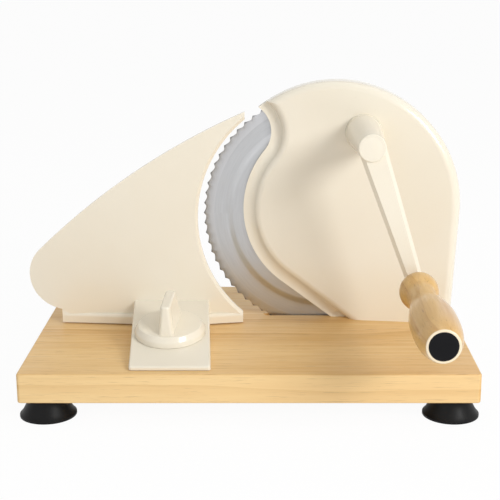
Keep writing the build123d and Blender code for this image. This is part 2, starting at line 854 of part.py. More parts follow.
with BuildPart() as crank_shaft:
    flatted(shaft_front_y, flats_front_end_y, 0, Mode.ADD)
    with BuildSketch(upright(pinion_front_y, crank_x, crank_z)):
        Circle(shaft_r)
    extrude(amount=pinion_front_y - flats_front_end_y)
    flatted(pinion_front_y, shaft_back_y, 0, Mode.ADD)
    screw_end_y = crank_screw_seat_y + crank_screw_reach + slide_gap
    drill(crank_x, crank_z, crank_screw_r + fixed_gap, shaft_front_y, screw_end_y)
    screw_end_y = pinion_screw_seat_y - pinion_screw_reach - slide_gap
    drill(crank_x, crank_z, pinion_screw_r + fixed_gap, screw_end_y, shaft_back_y)
finish(crank_shaft, "crank_shaft")

with BuildPart() as thrust_washer:
    with BuildSketch(upright(thrust_front_y + thrust_washer_h, crank_x, crank_z)):
        Circle(thrust_washer_r)
        Circle(shaft_r + 2 * running_gap, mode=Mode.SUBTRACT)
    extrude(amount=thrust_washer_h)
finish(thrust_washer, "thrust_washer")

with BuildPart() as drive_pinion:
    with BuildSketch(upright(gear_back_y, crank_x, crank_z)):
        gear_outline(pinion_teeth, gear_module, train_angle + 180 + 180 / pinion_teeth)
    extrude(amount=gear_thick)
    with BuildSketch(upright(gear_front_y, crank_x, crank_z)):
        Circle(thrust_washer_r)
    extrude(amount=gear_front_y - pinion_front_y)
    flatted(pinion_front_y, shaft_back_y + slide_gap, fixed_gap, Mode.SUBTRACT)
    drill(crank_x, crank_z, pinion_screw_r + 0.1, shaft_back_y, gear_back_y)
    drill(crank_x, crank_z, pinion_screw_head_r + slide_gap, pinion_screw_seat_y - fixed_gap, gear_back_y)
finish(drive_pinion, "drive_pinion")

with BuildPart() as pinion_screw:
    seat = rearward(pinion_screw_seat_y, crank_x, crank_z)
    screw(seat, pinion_screw_r, pinion_screw_reach, pinion_screw_head_r, pinion_screw_head_h)
finish(pinion_screw, "pinion_screw")

with BuildPart() as crank_arm:
    with BuildSketch(upright(arm_front_y + arm_thick, crank_x, crank_z)):
        Circle(hub_front_r)
        with Locations((grip_x, grip_z)):
            Circle(arm_grip_r)
        make_hull()
    extrude(amount=arm_thick)
    arm_front = faces().sort_by(Axis.Y)[0]
    arm_edges = arm_front.edges()
    right_edge = arm_edges.filter_by(GeomType.LINE).sort_by(Axis.X)[-1]
    chamfer(right_edge, arm_bevel)
    rear_edges = faces().sort_by(Axis.Y)[-1].edges()
    fillet(rear_edges, arm_edge_r)
    lathe(
        crank_x,
        crank_z,
        [
            (0, hub_front_y),
            (hub_front_r - hub_edge, hub_front_y),
            (hub_front_r, hub_front_y + hub_edge),
            (hub_back_r, hub_back_y),
            (0, hub_back_y),
        ],
    )
    drill(crank_x, crank_z, cap_r + fixed_gap, hub_front_y - 1, cap_seat_y)
    drill(crank_x, crank_z, washer_r + slide_gap, cap_seat_y - 1, crank_screw_seat_y + crank_washer_h + fixed_gap)
    drill(crank_x, crank_z, crank_screw_r + 0.1, crank_screw_seat_y, shaft_front_y)
    flatted(socket_floor_y, flats_front_end_y, fixed_gap, Mode.SUBTRACT)
    drill(crank_x, crank_z, shaft_r + fixed_gap, flats_front_end_y - slide_gap, hub_back_y)
    drill(crank_x, crank_z, tube_r + 2 * slide_gap, hub_counterbore_y, hub_back_y + 1)
    drill(crank_x + grip_x, crank_z + grip_z, pin_r + fixed_gap, arm_front_y - 1, arm_front_y + pin_root + fixed_gap)
finish(crank_arm, "crank_arm")

with BuildPart() as crank_washer:
    with BuildSketch(upright(crank_screw_seat_y + crank_washer_h, crank_x, crank_z)):
        Circle(washer_r)
        Circle(crank_screw_r + 0.1, mode=Mode.SUBTRACT)
    extrude(amount=crank_washer_h)
finish(crank_washer, "crank_washer")

with BuildPart() as crank_screw:
    seat = upright(crank_screw_seat_y - fixed_gap, crank_x, crank_z)
    screw(seat, crank_screw_r, crank_screw_reach, crank_screw_head_r, crank_screw_head_h)
finish(crank_screw, "crank_screw")

with BuildPart() as hub_cap:
    lathe(
        crank_x,
        crank_z,
        [
            (0, cap_front_y - cap_crown),
            (cap_r / 2, cap_front_y - cap_crown * 0.75),
            (cap_r, cap_front_y),
            (cap_r, cap_front_y + cap_thick),
            (0, cap_front_y + cap_thick),
        ],
    )
finish(hub_cap, "hub_cap")

# ---------------------------------------------------------------------------
# Grip on its pin
# ---------------------------------------------------------------------------

pin_x = crank_x + grip_x
pin_z = crank_z + grip_z
grip_back_y = ball_y + ball_to_arm
pin_head_y = grip_end_y + pin_head_sink
plug_seat_y = grip_end_y + plug_depth

with BuildPart() as grip_pin:
    lathe(
        pin_x,
        pin_z,
        [
            (0, pin_head_y),
            (pin_head_r, pin_head_y),
            (pin_head_r, pin_head_y + pin_head_h),
            (pin_r, pin_head_y + pin_head_h),
            (pin_r, arm_front_y + pin_root),
            (0, arm_front_y + pin_root),
        ],
    )
finish(grip_pin, "grip_pin")

ball_flat_r = sqrt(ball_r**2 - ball_to_arm**2)
ball_join = (ball_r * cos(radians(ball_join_angle)), ball_y - ball_r * sin(radians(ball_join_angle)))
neck = (neck_r, ball_y - ball_to_neck)
belly = (belly_r, ball_y - ball_to_belly)
grip_end = (grip_end_r, grip_end_y)

with BuildPart() as wooden_grip:
    with BuildSketch(section(pin_x, pin_z)):
        with BuildLine():
            Line((0, grip_back_y), (ball_flat_r, grip_back_y))
            ThreePointArc((ball_flat_r, grip_back_y), (ball_r, ball_y), ball_join)
            leaving = (-sin(radians(ball_join_angle)), -cos(radians(ball_join_angle)))
            Spline(ball_join, neck, tangents=(leaving, (0, -1)))
            Spline(neck, belly, tangents=((0, -1), (0, -1)))
            Spline(belly, grip_end, tangents=((0, -1), (-sin(radians(grip_end_taper)), -cos(radians(grip_end_taper)))))
            Line(grip_end, (0, grip_end_y))
            Line((0, grip_end_y), (0, grip_back_y))
        make_face()
    revolve(axis=depth_axis(pin_x, pin_z))
    fillet(edges().filter_by(GeomType.CIRCLE).sort_by(Axis.Y)[0], grip_edge_r)
    drill(pin_x, pin_z, pin_r + running_gap, grip_end_y, grip_back_y + 1)
    drill(pin_x, pin_z, pin_head_r + slide_gap, grip_end_y, pin_head_y + pin_head_h + slide_gap)
    drill(pin_x, pin_z, plug_r + fixed_gap, grip_end_y - 1, plug_seat_y)
finish(wooden_grip, "wooden_grip")

with BuildPart() as grip_end_cap:
    lathe(
        pin_x,
        pin_z,
        [
            (0, grip_end_y - plug_proud),
            (plug_r - plug_proud, grip_end_y - plug_proud),
            (plug_r, grip_end_y),
            (plug_r, plug_seat_y - fixed_gap),
            (0, plug_seat_y - fixed_gap),
        ],
    )
finish(grip_end_cap, "grip_end_cap")

# ---------------------------------------------------------------------------
# Stop plate on its sloping foot, with the shoe that runs in the rail
# ---------------------------------------------------------------------------

slope_z = tray_lip + (dial_y - tray_front_y) * tan(radians(tray_slope))
slope = Plane(
    origin=point(dial_x, dial_y, slope_z),
    x_dir=(1, 0, 0),
    z_dir=(0, -sin(radians(tray_slope)), cos(radians(tray_slope))),
)
plate_back_y = plate_front_y + plate_thick
tray_high = slope_z + (plate_back_y - dial_y) * tan(radians(tray_slope)) + 5
shoe_screw_ys = [shoe_middle_y - shoe_length / 4, shoe_middle_y + shoe_length / 4]


def tray_side(y, corner_front, corner_back, shift):
    """A point on a side of the tray, moved towards the middle by shift."""
    along = (y - tray_front_y) / (plate_front_y - tray_front_y)
    return (corner_front + (corner_back - corner_front) * along + shift, y)


with BuildPart() as tray_hollow:
    with BuildSketch(level(0)):
        with BuildLine():
            Polyline(
                tray_side(tray_hollow_y, tray_front_left, tray_back_left, tray_wall),
                tray_side(tray_hollow_y, tray_front_right, tray_back_right, -tray_wall),
                tray_side(plate_front_y - tray_wall, tray_front_right, tray_back_right, -tray_wall),
                tray_side(plate_front_y - tray_wall, tray_front_left, tray_back_left, tray_wall),
                close=True,
            )
        make_face()
    extrude(amount=tray_high)
    split(bisect_by=slope.offset(-tray_wall), keep=Keep.BOTTOM)
    with BuildSketch(slope.offset(-spindle_boss_h)):
        Circle(spindle_boss_r)
    extrude(amount=spindle_boss_h, mode=Mode.SUBTRACT)
    with BuildSketch(level(shoe_top_z + fixed_gap)):
        with Locations(*[(rail_x, y) for y in shoe_screw_ys]):
            Circle(shoe_post_r)
    extrude(amount=tray_high, mode=Mode.SUBTRACT)

# thickened foot along the plate's front
with BuildPart() as plate_foot:
    with BuildSketch(level(plate_bottom_z)):
        with BuildLine():
            Polyline(
                (chin_x, plate_front_y),
                (tray_back_left - 2, plate_front_y - flange_proud),
                (tray_back_right + 1, plate_front_y - flange_proud),
                (plate_low_x, plate_front_y),
                (plate_low_x, plate_back_y - 1),
                (chin_x, plate_back_y - 1),
                close=True,
            )
        make_face()
    extrude(amount=flange_height)
    front_of_flange = board_front + plate_front_y - 0.5
    top_edges = faces().sort_by(Axis.Z)[-1].edges()
    fillet(top_edges.filter_by(lambda e: (e @ 0.5).Y < front_of_flange), flange_edge_r)

# the plate, hollowed on its right edge to follow the blade
with BuildPart() as shaped_plate:
    with BuildSketch(upright(plate_back_y)):
        nose_left = (-board_length / 2 - nose_overhang, nose_z)
        brow = (brow_x, brow_z)
        hollow_top = (tip_x, blade_z + sqrt(hollow_r**2 - (blade_x - tip_x) ** 2))
        hollow_low = (plate_low_x, blade_z - sqrt(hollow_r**2 - (blade_x - plate_low_x) ** 2))
        tip = (tip_x, max(tip_z, hollow_top[1] + plate_edge_gap))
        with BuildLine():
            Line((chin_x, plate_bottom_z), (chin_x, chin_z))
            TangentArc(nose_left, (chin_x, chin_z), tangent=(0, -1))
            TangentArc(nose_left, brow, tangent=(0, 1))
            ThreePointArc(brow, (back_x, back_z), tip)
            Line(tip, hollow_top)
            ThreePointArc(hollow_top, (blade_x - hollow_r, blade_z), hollow_low)
            Line(hollow_low, (plate_low_x, plate_bottom_z))
            Line((plate_low_x, plate_bottom_z), (chin_x, plate_bottom_z))
        make_face()
    extrude(amount=plate_thick)
    hollow_edge = edges().filter_by(GeomType.CIRCLE).filter_by(lambda e: abs(e.radius - hollow_r) < 0.01)
    chamfer(hollow_edge.sort_by(Axis.Y)[0], plate_bevel)

with BuildPart() as stop_plate:
    # sloping foot
    with BuildSketch(level(tray_gap)):
        with BuildLine():
            Polyline(
                (tray_front_left, tray_front_y),
                (tray_front_right, tray_front_y),
                tray_side(plate_back_y - 1, tray_front_right, tray_back_right, 0),
                tray_side(plate_back_y - 1, tray_front_left, tray_back_left, 0),
                close=True,
            )
        make_face()
    extrude(amount=tray_high)
    split(bisect_by=slope, keep=Keep.BOTTOM)
    upright_edges = edges().filter_by(Axis.Z).sort_by(Axis.Y)[:2]
    fillet(upright_edges, tray_corner_r)
    tray_top = faces().filter_by(lambda f: f.normal_at().Z > 0.9).sort_by(Axis.Z)[-1]
    fillet(tray_top.edges().filter_by(lambda e: (e @ 0.5).Y < board_front + plate_front_y), tray_edge_r)
    add(plate_foot.part)
    add(shaped_plate.part)
    add(tray_hollow.part, mode=Mode.SUBTRACT)
    with BuildSketch(slope):
        Circle(spindle_r + running_gap)
    extrude(amount=-spindle_boss_h, mode=Mode.SUBTRACT)
    with BuildSketch(level(shoe_top_z)):
        with Locations(*[(rail_x, y) for y in shoe_screw_ys]):
            Circle(shoe_screw_r + fixed_gap)
    extrude(amount=shoe_screw_reach, mode=Mode.SUBTRACT)
finish(stop_plate, "stop_plate")

shoe_neck_w = rail_slot - 2 * slide_gap
shoe_head_top_z = -rail_wall - slide_gap
with BuildPart() as guide_shoe:
    with BuildSketch(upright(shoe_middle_y + shoe_length / 2, rail_x, 0)):
        with Locations((0, shoe_head_top_z - shoe_head_h / 2)):
            Rectangle(shoe_head_w, shoe_head_h)
        with Locations((0, (shoe_top_z + shoe_head_top_z - shoe_head_h / 2) / 2)):
            Rectangle(shoe_neck_w, shoe_top_z - shoe_head_top_z + shoe_head_h / 2)
    extrude(amount=shoe_length)
    shoe_bottom_z = shoe_head_top_z - shoe_head_h
    with BuildSketch(level(shoe_bottom_z)):
        with Locations(*[(rail_x, y) for y in shoe_screw_ys]):
            Circle(shoe_screw_r + fixed_gap)
    extrude(amount=shoe_top_z - shoe_bottom_z, mode=Mode.SUBTRACT)
    with BuildSketch(level(shoe_bottom_z)):
        with Locations(*[(rail_x, y) for y in shoe_screw_ys]):
            Circle(shoe_screw_head_r + slide_gap)
    extrude(amount=shoe_screw_head_h + slide_gap, mode=Mode.SUBTRACT)
finish(guide_shoe, "guide_shoe")

with BuildPart() as shoe_screws:
    seat_z = shoe_bottom_z + shoe_screw_head_h + slide_gap - fixed_gap
    for y in shoe_screw_ys:
        seat = Plane(origin=point(rail_x, y, seat_z), z_dir=(0, 0, -1))
        reach = shoe_top_z - seat_z + shoe_screw_reach - slide_gap
        screw(seat, shoe_screw_r, reach, shoe_screw_head_r, shoe_screw_head_h)
finish(shoe_screws, "shoe_screws")

# ---------------------------------------------------------------------------
# Thickness dial, its spindle and pinion, and the rack they work on
# ---------------------------------------------------------------------------

dial_floor = slope.offset(dial_gap)
with BuildPart() as thickness_dial:
    with BuildSketch(dial_floor):
        Circle(dial_r)
    extrude(amount=dial_rim_h)
    with BuildSketch(dial_floor.offset(dial_rim_h)):
        Circle(dial_r)
    with BuildSketch(dial_floor.offset(dial_h)):
        Circle(dial_r - dial_shoulder)
    loft()
    fillet(edges().filter_by(GeomType.CIRCLE).sort_by(Axis.Z)[-1], dial_top_edge_r)
    turned = dial_floor.rotated((0, 0, fin_turn))
    with BuildSketch(turned.offset(dial_rim_h)):
        RectangleRounded(fin_width, fin_length, fin_corner_r)
    with BuildSketch(turned.offset(fin_height)):
        with Locations((0, -fin_top_forward)):
            RectangleRounded(fin_top_width, fin_top_length, fin_corner_r)
    loft()
    fillet(faces().sort_by(Axis.Z)[-1].edges(), fin_edge_r)
    with BuildSketch(dial_floor):
        Circle(spindle_r + fixed_gap)
    extrude(amount=dial_bore_depth, mode=Mode.SUBTRACT)
    with BuildSketch(dial_floor):
        Circle(wave_washer_r + slide_gap)
    extrude(amount=wave_washer_h - dial_gap + 2 * fixed_gap, mode=Mode.SUBTRACT)
finish(thickness_dial, "thickness_dial")

with BuildPart() as dial_washer:
    with BuildSketch(slope.offset(fixed_gap)):
        Circle(wave_washer_r)
        Circle(spindle_r + 2 * running_gap, mode=Mode.SUBTRACT)
    extrude(amount=wave_washer_h)
finish(dial_washer, "dial_washer")

spindle_end = rack_pinion_drop + rack_pinion_h - slide_gap
with BuildPart() as dial_spindle:
    with BuildSketch(slope.offset(-rack_pinion_drop)):
        Circle(spindle_r)
    extrude(amount=rack_pinion_drop + dial_gap + dial_bore_depth - slide_gap)
    with BuildSketch(slope.offset(-spindle_end)):
        Circle(spindle_nose_r)
    extrude(amount=spindle_end - rack_pinion_drop)
    with BuildSketch(slope.offset(-spindle_end)):
        Circle(dial_screw_r + fixed_gap)
    extrude(amount=dial_screw_reach, mode=Mode.SUBTRACT)
finish(dial_spindle, "dial_spindle")

with BuildPart() as dial_pinion:
    with BuildSketch(slope.offset(-rack_pinion_drop - rack_pinion_h)):
        gear_outline(rack_pinion_teeth, rack_module, 180)
    extrude(amount=rack_pinion_h - fixed_gap)
    with BuildSketch(slope.offset(-rack_pinion_drop - rack_pinion_h)):
        Circle(spindle_nose_r + fixed_gap)
    extrude(amount=rack_pinion_h, mode=Mode.SUBTRACT)
finish(dial_pinion, "dial_pinion")

with BuildPart() as dial_screw:
    under = slope.offset(-rack_pinion_drop - rack_pinion_h - fixed_gap)
    seat = Plane(origin=under.origin, x_dir=under.x_dir, z_dir=-under.z_dir)
    screw(seat, dial_screw_r, dial_screw_reach, dial_screw_head_r, dial_screw_head_h)
finish(dial_screw, "dial_screw")

# rack: its teeth run along the slope so that they stay parallel to the pinion's
rack_pitch = pi * rack_module
rack_line = -rack_module * rack_pinion_teeth / 2
rack_root = rack_line - 1.25 * rack_module
rack_tip = rack_line + rack_addendum
rack_slant = tan(radians(pressure_angle))
rack_rows = int((rack_back_y - rack_front_y) / rack_pitch) + 4
with BuildPart() as thickness_rack:
    with BuildSketch(slope.offset(-slope_z - pocket_depth - rack_back)):
        with Locations((rack_line - rack_back / 2 - rack_module * 0.625, 0)):
            Rectangle(rack_back - 1.25 * rack_module, 2 * rack_back_y)
        with BuildLine() as rack_teeth:
            for n in range(-rack_rows, rack_rows):
                middle = (n + 0.5) * rack_pitch
                low = rack_pitch / 4 - rack_thinning + (rack_line - rack_root) * rack_slant
                high = rack_pitch / 4 - rack_thinning - rack_addendum * rack_slant
                Polyline(
                    (rack_root, middle - rack_pitch / 2),
                    (rack_root, middle - low),
                    (rack_tip, middle - high),
                    (rack_tip, middle + high),
                    (rack_root, middle + low),
                    (rack_root, middle + rack_pitch / 2),
                )
            rows_end = (rack_rows) * rack_pitch
            Polyline(
                (rack_root, rows_end),
                (rack_root - 1, rows_end),
                (rack_root - 1, -rows_end),
                (rack_root, -rows_end),
            )
        make_face()
    extrude(amount=slope_z + 2 * pocket_depth + 2 * rack_back)
    rack_middle = ((pocket_left + pocket_right) / 2, (rack_front_y + rack_back_y) / 2)
    with BuildSketch(level(-pocket_depth)) as footprint:
        with Locations(rack_middle):
            Rectangle(pocket_right - pocket_left + 10, rack_back_y - rack_front_y)
    extrude(amount=pocket_depth + rack_top_z, mode=Mode.INTERSECT)
    for y in rack_screw_ys:
        with BuildSketch(level(-pocket_depth, rack_screw_x, y)):
            Circle(rack_screw_r + fixed_gap)
        extrude(amount=pocket_depth + rack_top_z, mode=Mode.SUBTRACT)
        with BuildSketch(level(rack_top_z - rack_screw_head_h, rack_screw_x, y)):
            Circle(rack_screw_r + fixed_gap)
        with BuildSketch(level(rack_top_z, rack_screw_x, y)):
            Circle(rack_screw_head_r + fixed_gap)
        loft(mode=Mode.SUBTRACT)
finish(thickness_rack, "thickness_rack")

with BuildPart() as rack_screws:
    for y in rack_screw_ys:
        seat = level(rack_top_z, rack_screw_x, y)
        reach = rack_top_z + pocket_depth + rail_screw_reach - slide_gap
        screw(seat, rack_screw_r, reach, rack_screw_head_r, 0, sunk=rack_screw_head_h)
finish(rack_screws, "rack_screws")
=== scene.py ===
import json
import math

import bmesh
import bpy
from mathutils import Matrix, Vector


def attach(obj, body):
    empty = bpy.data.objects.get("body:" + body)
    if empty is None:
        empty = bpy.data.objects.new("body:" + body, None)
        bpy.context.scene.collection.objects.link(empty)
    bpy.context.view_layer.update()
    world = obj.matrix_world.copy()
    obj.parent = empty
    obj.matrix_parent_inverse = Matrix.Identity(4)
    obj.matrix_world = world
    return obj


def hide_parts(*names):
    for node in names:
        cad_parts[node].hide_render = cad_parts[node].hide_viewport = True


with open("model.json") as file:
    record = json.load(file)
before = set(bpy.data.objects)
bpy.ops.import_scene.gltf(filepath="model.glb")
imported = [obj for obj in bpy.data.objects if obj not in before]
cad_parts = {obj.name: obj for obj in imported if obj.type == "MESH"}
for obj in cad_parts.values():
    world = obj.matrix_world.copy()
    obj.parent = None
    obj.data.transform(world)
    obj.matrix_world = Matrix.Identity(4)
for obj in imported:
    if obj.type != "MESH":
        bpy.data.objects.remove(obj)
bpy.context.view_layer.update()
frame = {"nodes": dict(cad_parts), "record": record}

nodes = frame["nodes"]
scene = bpy.context.scene
mm = 0.001
rowOffset = Vector((4.25, -65.85, 36.4))  # the board's front top edge, seen from the part's origin, in mm


def place(x, y, z):
    return (Vector((x, y, z)) + rowOffset) * mm


# small helpers for node trees

def addNode(tree, kind, **settings):
    node = tree.nodes.new(kind)
    for key, value in settings.items():
        setattr(node, key, value)
    return node


def wire(tree, source, target):
    tree.links.new(source, target)


def socketOf(sockets, kind, name=None):
    # a Mix or Random Value node has several sockets of one name, told apart by their type
    return next(s for s in sockets if s.type == kind and name in (None, s.name))


def rgb(r, g, b):
    # screen colour, 0 to 255, to the linear colour a socket takes
    def linear(c):
        c /= 255
        return c / 12.92 if c <= 0.04045 else ((c + 0.055) / 1.055) ** 2.4
    return (linear(r), linear(g), linear(b), 1.0)


def newGroup(name, inputs, outputs):
    group = bpy.data.node_groups.new(name, "ShaderNodeTree")
    for label, kind, value in inputs:
        socket = group.interface.new_socket(label, in_out="INPUT", socket_type=kind)
        if value is not None:
            socket.default_value = value
    for label, kind in outputs:
        group.interface.new_socket(label, in_out="OUTPUT", socket_type=kind)
    start = group.nodes.new("NodeGroupInput")
    end = group.nodes.new("NodeGroupOutput")
    return group, start.outputs, end.inputs


def math2(tree, operation, a, b=None, clamp=False):
    node = addNode(tree, "ShaderNodeMath", operation=operation, use_clamp=clamp)
    for index, value in enumerate((a, b)):
        if value is None:
            continue
        if isinstance(value, (int, float)):
            node.inputs[index].default_value = value
        else:
            wire(tree, value, node.inputs[index])
    return node.outputs[0]


def stretch(tree, vector, scale=(1, 1, 1), location=(0, 0, 0), rotation=(0, 0, 0)):
    node = addNode(tree, "ShaderNodeMapping")
    node.inputs["Scale"].default_value = scale
    node.inputs["Location"].default_value = location
    node.inputs["Rotation"].default_value = rotation
    wire(tree, vector, node.inputs["Vector"])
    return node.outputs[0]


def noise(tree, vector, scale, detail, roughness):
    node = addNode(tree, "ShaderNodeTexNoise")
    node.inputs["Detail"].default_value = detail
    node.inputs["Roughness"].default_value = roughness
    if isinstance(scale, (int, float)):
        node.inputs["Scale"].default_value = scale
    else:
        wire(tree, scale, node.inputs["Scale"])
    wire(tree, vector, node.inputs["Vector"])
    return node.outputs["Fac"]


def remap(tree, value, low, high, toLow, toHigh):
    node = addNode(tree, "ShaderNodeMapRange")
    for label, number in (("From Min", low), ("From Max", high), ("To Min", toLow), ("To Max", toHigh)):
        if isinstance(number, (int, float)):
            node.inputs[label].default_value = number
        else:
            wire(tree, number, node.inputs[label])
    wire(tree, value, node.inputs["Value"])
    return node.outputs[0]


def blendColor(tree, factor, first, second):
    node = addNode(tree, "ShaderNodeMix", data_type="RGBA")
    targets = [
        socketOf(node.inputs, "VALUE", "Factor"),
        socketOf(node.inputs, "RGBA", "A"),
        socketOf(node.inputs, "RGBA", "B"),
    ]
    for target, value in zip(targets, (factor, first, second)):
        if isinstance(value, (int, float, tuple)):
            target.default_value = value
        else:
            wire(tree, value, target)
    return socketOf(node.outputs, "RGBA")


# effects that several finishes share

def buildEnamelSkin():
    # thick glossy coat: faint cloudiness, orange peel, a few specks
    group, given, out = newGroup(
        "enamelSkin",
        [
            ("Vector", "NodeSocketVector", None),
            ("Tint", "NodeSocketColor", rgb(242, 235, 219)),
            ("Shade", "NodeSocketColor", rgb(239, 231, 213)),
            ("Cloud Size", "NodeSocketFloat", 14.0),
            ("Speck Amount", "NodeSocketFloat", 0.25),
            ("Gloss", "NodeSocketFloat", 0.22),
        ],
        [("Color", "NodeSocketColor"), ("Roughness", "NodeSocketFloat"), ("Height", "NodeSocketFloat")],
    )
    cloud = noise(group, given["Vector"], given["Cloud Size"], 3.0, 0.5)
    color = blendColor(group, remap(group, cloud, 0.3, 0.75, 0.0, 1.0), given["Tint"], given["Shade"])
    speck = noise(group, given["Vector"], 900.0, 2.0, 0.6)
    dots = math2(group, "MULTIPLY", remap(group, speck, 0.70, 0.78, 0.0, 1.0), given["Speck Amount"])
    color = blendColor(group, dots, color, rgb(196, 180, 150))
    wire(group, color, out["Color"])
    handled = noise(group, given["Vector"], 26.0, 2.0, 0.5)
    rubbed = remap(group, handled, 0.2, 0.8, -0.02, 0.03)
    wire(group, math2(group, "ADD", given["Gloss"], rubbed), out["Roughness"])
    peel = noise(group, given["Vector"], 420.0, 2.0, 0.5)
    wire(group, peel, out["Height"])
    return group


def buildWoodFigure():
    # solid timber: the vector's X runs along the grain
    group, given, out = newGroup(
        "woodFigure",
        [
            ("Vector", "NodeSocketVector", None),
            ("Light", "NodeSocketColor", rgb(242, 206, 146)),
            ("Dark", "NodeSocketColor", rgb(218, 172, 106)),
            ("Pore", "NodeSocketColor", rgb(150, 100, 52)),
            ("Ring Scale", "NodeSocketFloat", 55.0),
            ("Figure", "NodeSocketFloat", 0.6),
            ("Pores", "NodeSocketFloat", 0.5),
        ],
        [("Color", "NodeSocketColor"), ("Roughness", "NodeSocketFloat"), ("Height", "NodeSocketFloat")],
    )
    bent = noise(group, stretch(group, given["Vector"], (1.6, 6.0, 6.0)), 1.6, 3.0, 0.5)
    parts = addNode(group, "ShaderNodeSeparateXYZ")
    wire(group, given["Vector"], parts.inputs[0])
    across = addNode(group, "ShaderNodeCombineXYZ")
    wire(group, math2(group, "MULTIPLY", parts.outputs["X"], 0.05), across.inputs["X"])
    for axis, sway in (("Y", 0.05), ("Z", 0.03)):
        swayed = math2(group, "ADD", parts.outputs[axis], math2(group, "MULTIPLY", bent, sway))
        wire(group, swayed, across.inputs[axis])
    reach = addNode(group, "ShaderNodeVectorMath", operation="LENGTH")
    shifted = stretch(group, across.outputs[0], location=(0, 0.035, 0.21))
    wire(group, shifted, reach.inputs[0])
    turns = math2(group, "MULTIPLY", reach.outputs["Value"], given["Ring Scale"])
    ring = math2(group, "FRACT", turns)
    late = remap(group, ring, 0.45, 1.0, 0.0, 1.0)  # the dark late wood of each year
    late = math2(group, "POWER", late, 1.7)
    streak = noise(group, stretch(group, given["Vector"], (5.0, 90.0, 90.0)), 3.0, 5.0, 0.62)
    streak = remap(group, streak, 0.36, 0.7, 0.0, 1.0)
    broad = noise(group, stretch(group, given["Vector"], (1.6, 9.0, 9.0)), 2.2, 3.0, 0.5)
    broad = remap(group, broad, 0.36, 0.66, 0.0, 1.0)
    figure = math2(group, "MULTIPLY", late, given["Figure"])
    figure = math2(group, "ADD", figure, math2(group, "MULTIPLY", streak, 0.38))
    figure = math2(group, "ADD", figure, math2(group, "MULTIPLY", broad, 0.42), clamp=True)
    color = blendColor(group, figure, given["Light"], given["Dark"])
    pore = noise(group, stretch(group, given["Vector"], (28.0, 800.0, 800.0)), 2.0, 2.0, 0.5)
    pore = remap(group, pore, 0.62, 0.72, 0.0, 1.0)
    pore = math2(group, "MULTIPLY", pore, given["Pores"])
    color = blendColor(group, pore, color, given["Pore"])
    wire(group, color, out["Color"])
    wire(group, remap(group, streak, 0.0, 1.0, 0.34, 0.50), out["Roughness"])
    wire(group, math2(group, "SUBTRACT", math2(group, "MULTIPLY", streak, 0.35), pore), out["Height"])
    return group


def buildBrushedLines():
    # lines left by a belt or a lathe tool; the vector's X runs across them
    group, given, out = newGroup(
        "brushedLines",
        [
            ("Vector", "NodeSocketVector", None),
            ("Base", "NodeSocketColor", rgb(196, 197, 199)),
            ("Line", "NodeSocketColor", rgb(160, 161, 164)),
            ("Density", "NodeSocketFloat", 900.0),
            ("Gloss", "NodeSocketFloat", 0.28),
        ],
        [("Color", "NodeSocketColor"), ("Roughness", "NodeSocketFloat"), ("Height", "NodeSocketFloat")],
    )
    scaled = addNode(group, "ShaderNodeVectorMath", operation="MULTIPLY")
    wire(group, given["Vector"], scaled.inputs[0])
    scaled.inputs[1].default_value = (1.0, 0.02, 0.02)
    fine = noise(group, scaled.outputs[0], given["Density"], 4.0, 0.7)
    coarse = noise(group, scaled.outputs[0], math2(group, "MULTIPLY", given["Density"], 0.16), 3.0, 0.6)
    mixed = math2(group, "ADD", math2(group, "MULTIPLY", fine, 0.6), math2(group, "MULTIPLY", coarse, 0.4))
    lines = remap(group, mixed, 0.36, 0.64, 0.0, 1.0)
    wire(group, blendColor(group, lines, given["Base"], given["Line"]), out["Color"])
    uneven = remap(group, lines, 0.0, 1.0, -0.05, 0.09)
    wire(group, math2(group, "ADD", given["Gloss"], uneven), out["Roughness"])
    wire(group, lines, out["Height"])
    return group


def buildDustFilm():
    # the thin dusty film and rubbed places that dark rubber and plastic pick up
    group, given, out = newGroup(
        "dustFilm",
        [
            ("Vector", "NodeSocketVector", None),
            ("Base", "NodeSocketColor", rgb(30, 30, 33)),
            ("Dust", "NodeSocketColor", rgb(92, 90, 88)),
            ("Amount", "NodeSocketFloat", 0.2),
            ("Gloss", "NodeSocketFloat", 0.45),
        ],
        [("Color", "NodeSocketColor"), ("Roughness", "NodeSocketFloat"), ("Height", "NodeSocketFloat")],
    )
    broad = remap(group, noise(group, given["Vector"], 60.0, 4.0, 0.6), 0.4, 0.75, 0.0, 1.0)
    grit = remap(group, noise(group, given["Vector"], 1400.0, 2.0, 0.6), 0.6, 0.75, 0.0, 1.0)
    film = math2(group, "MULTIPLY", math2(group, "ADD", broad, grit), given["Amount"], clamp=True)
    wire(group, blendColor(group, film, given["Base"], given["Dust"]), out["Color"])
    wire(group, math2(group, "ADD", given["Gloss"], math2(group, "MULTIPLY", broad, 0.14)), out["Roughness"])
    wire(group, noise(group, given["Vector"], 1100.0, 2.0, 0.5), out["Height"])
    return group


effects = {
    "enamelSkin": buildEnamelSkin(),
    "woodFigure": buildWoodFigure(),
    "brushedLines": buildBrushedLines(),
    "dustFilm": buildDustFilm(),
}


# finishes

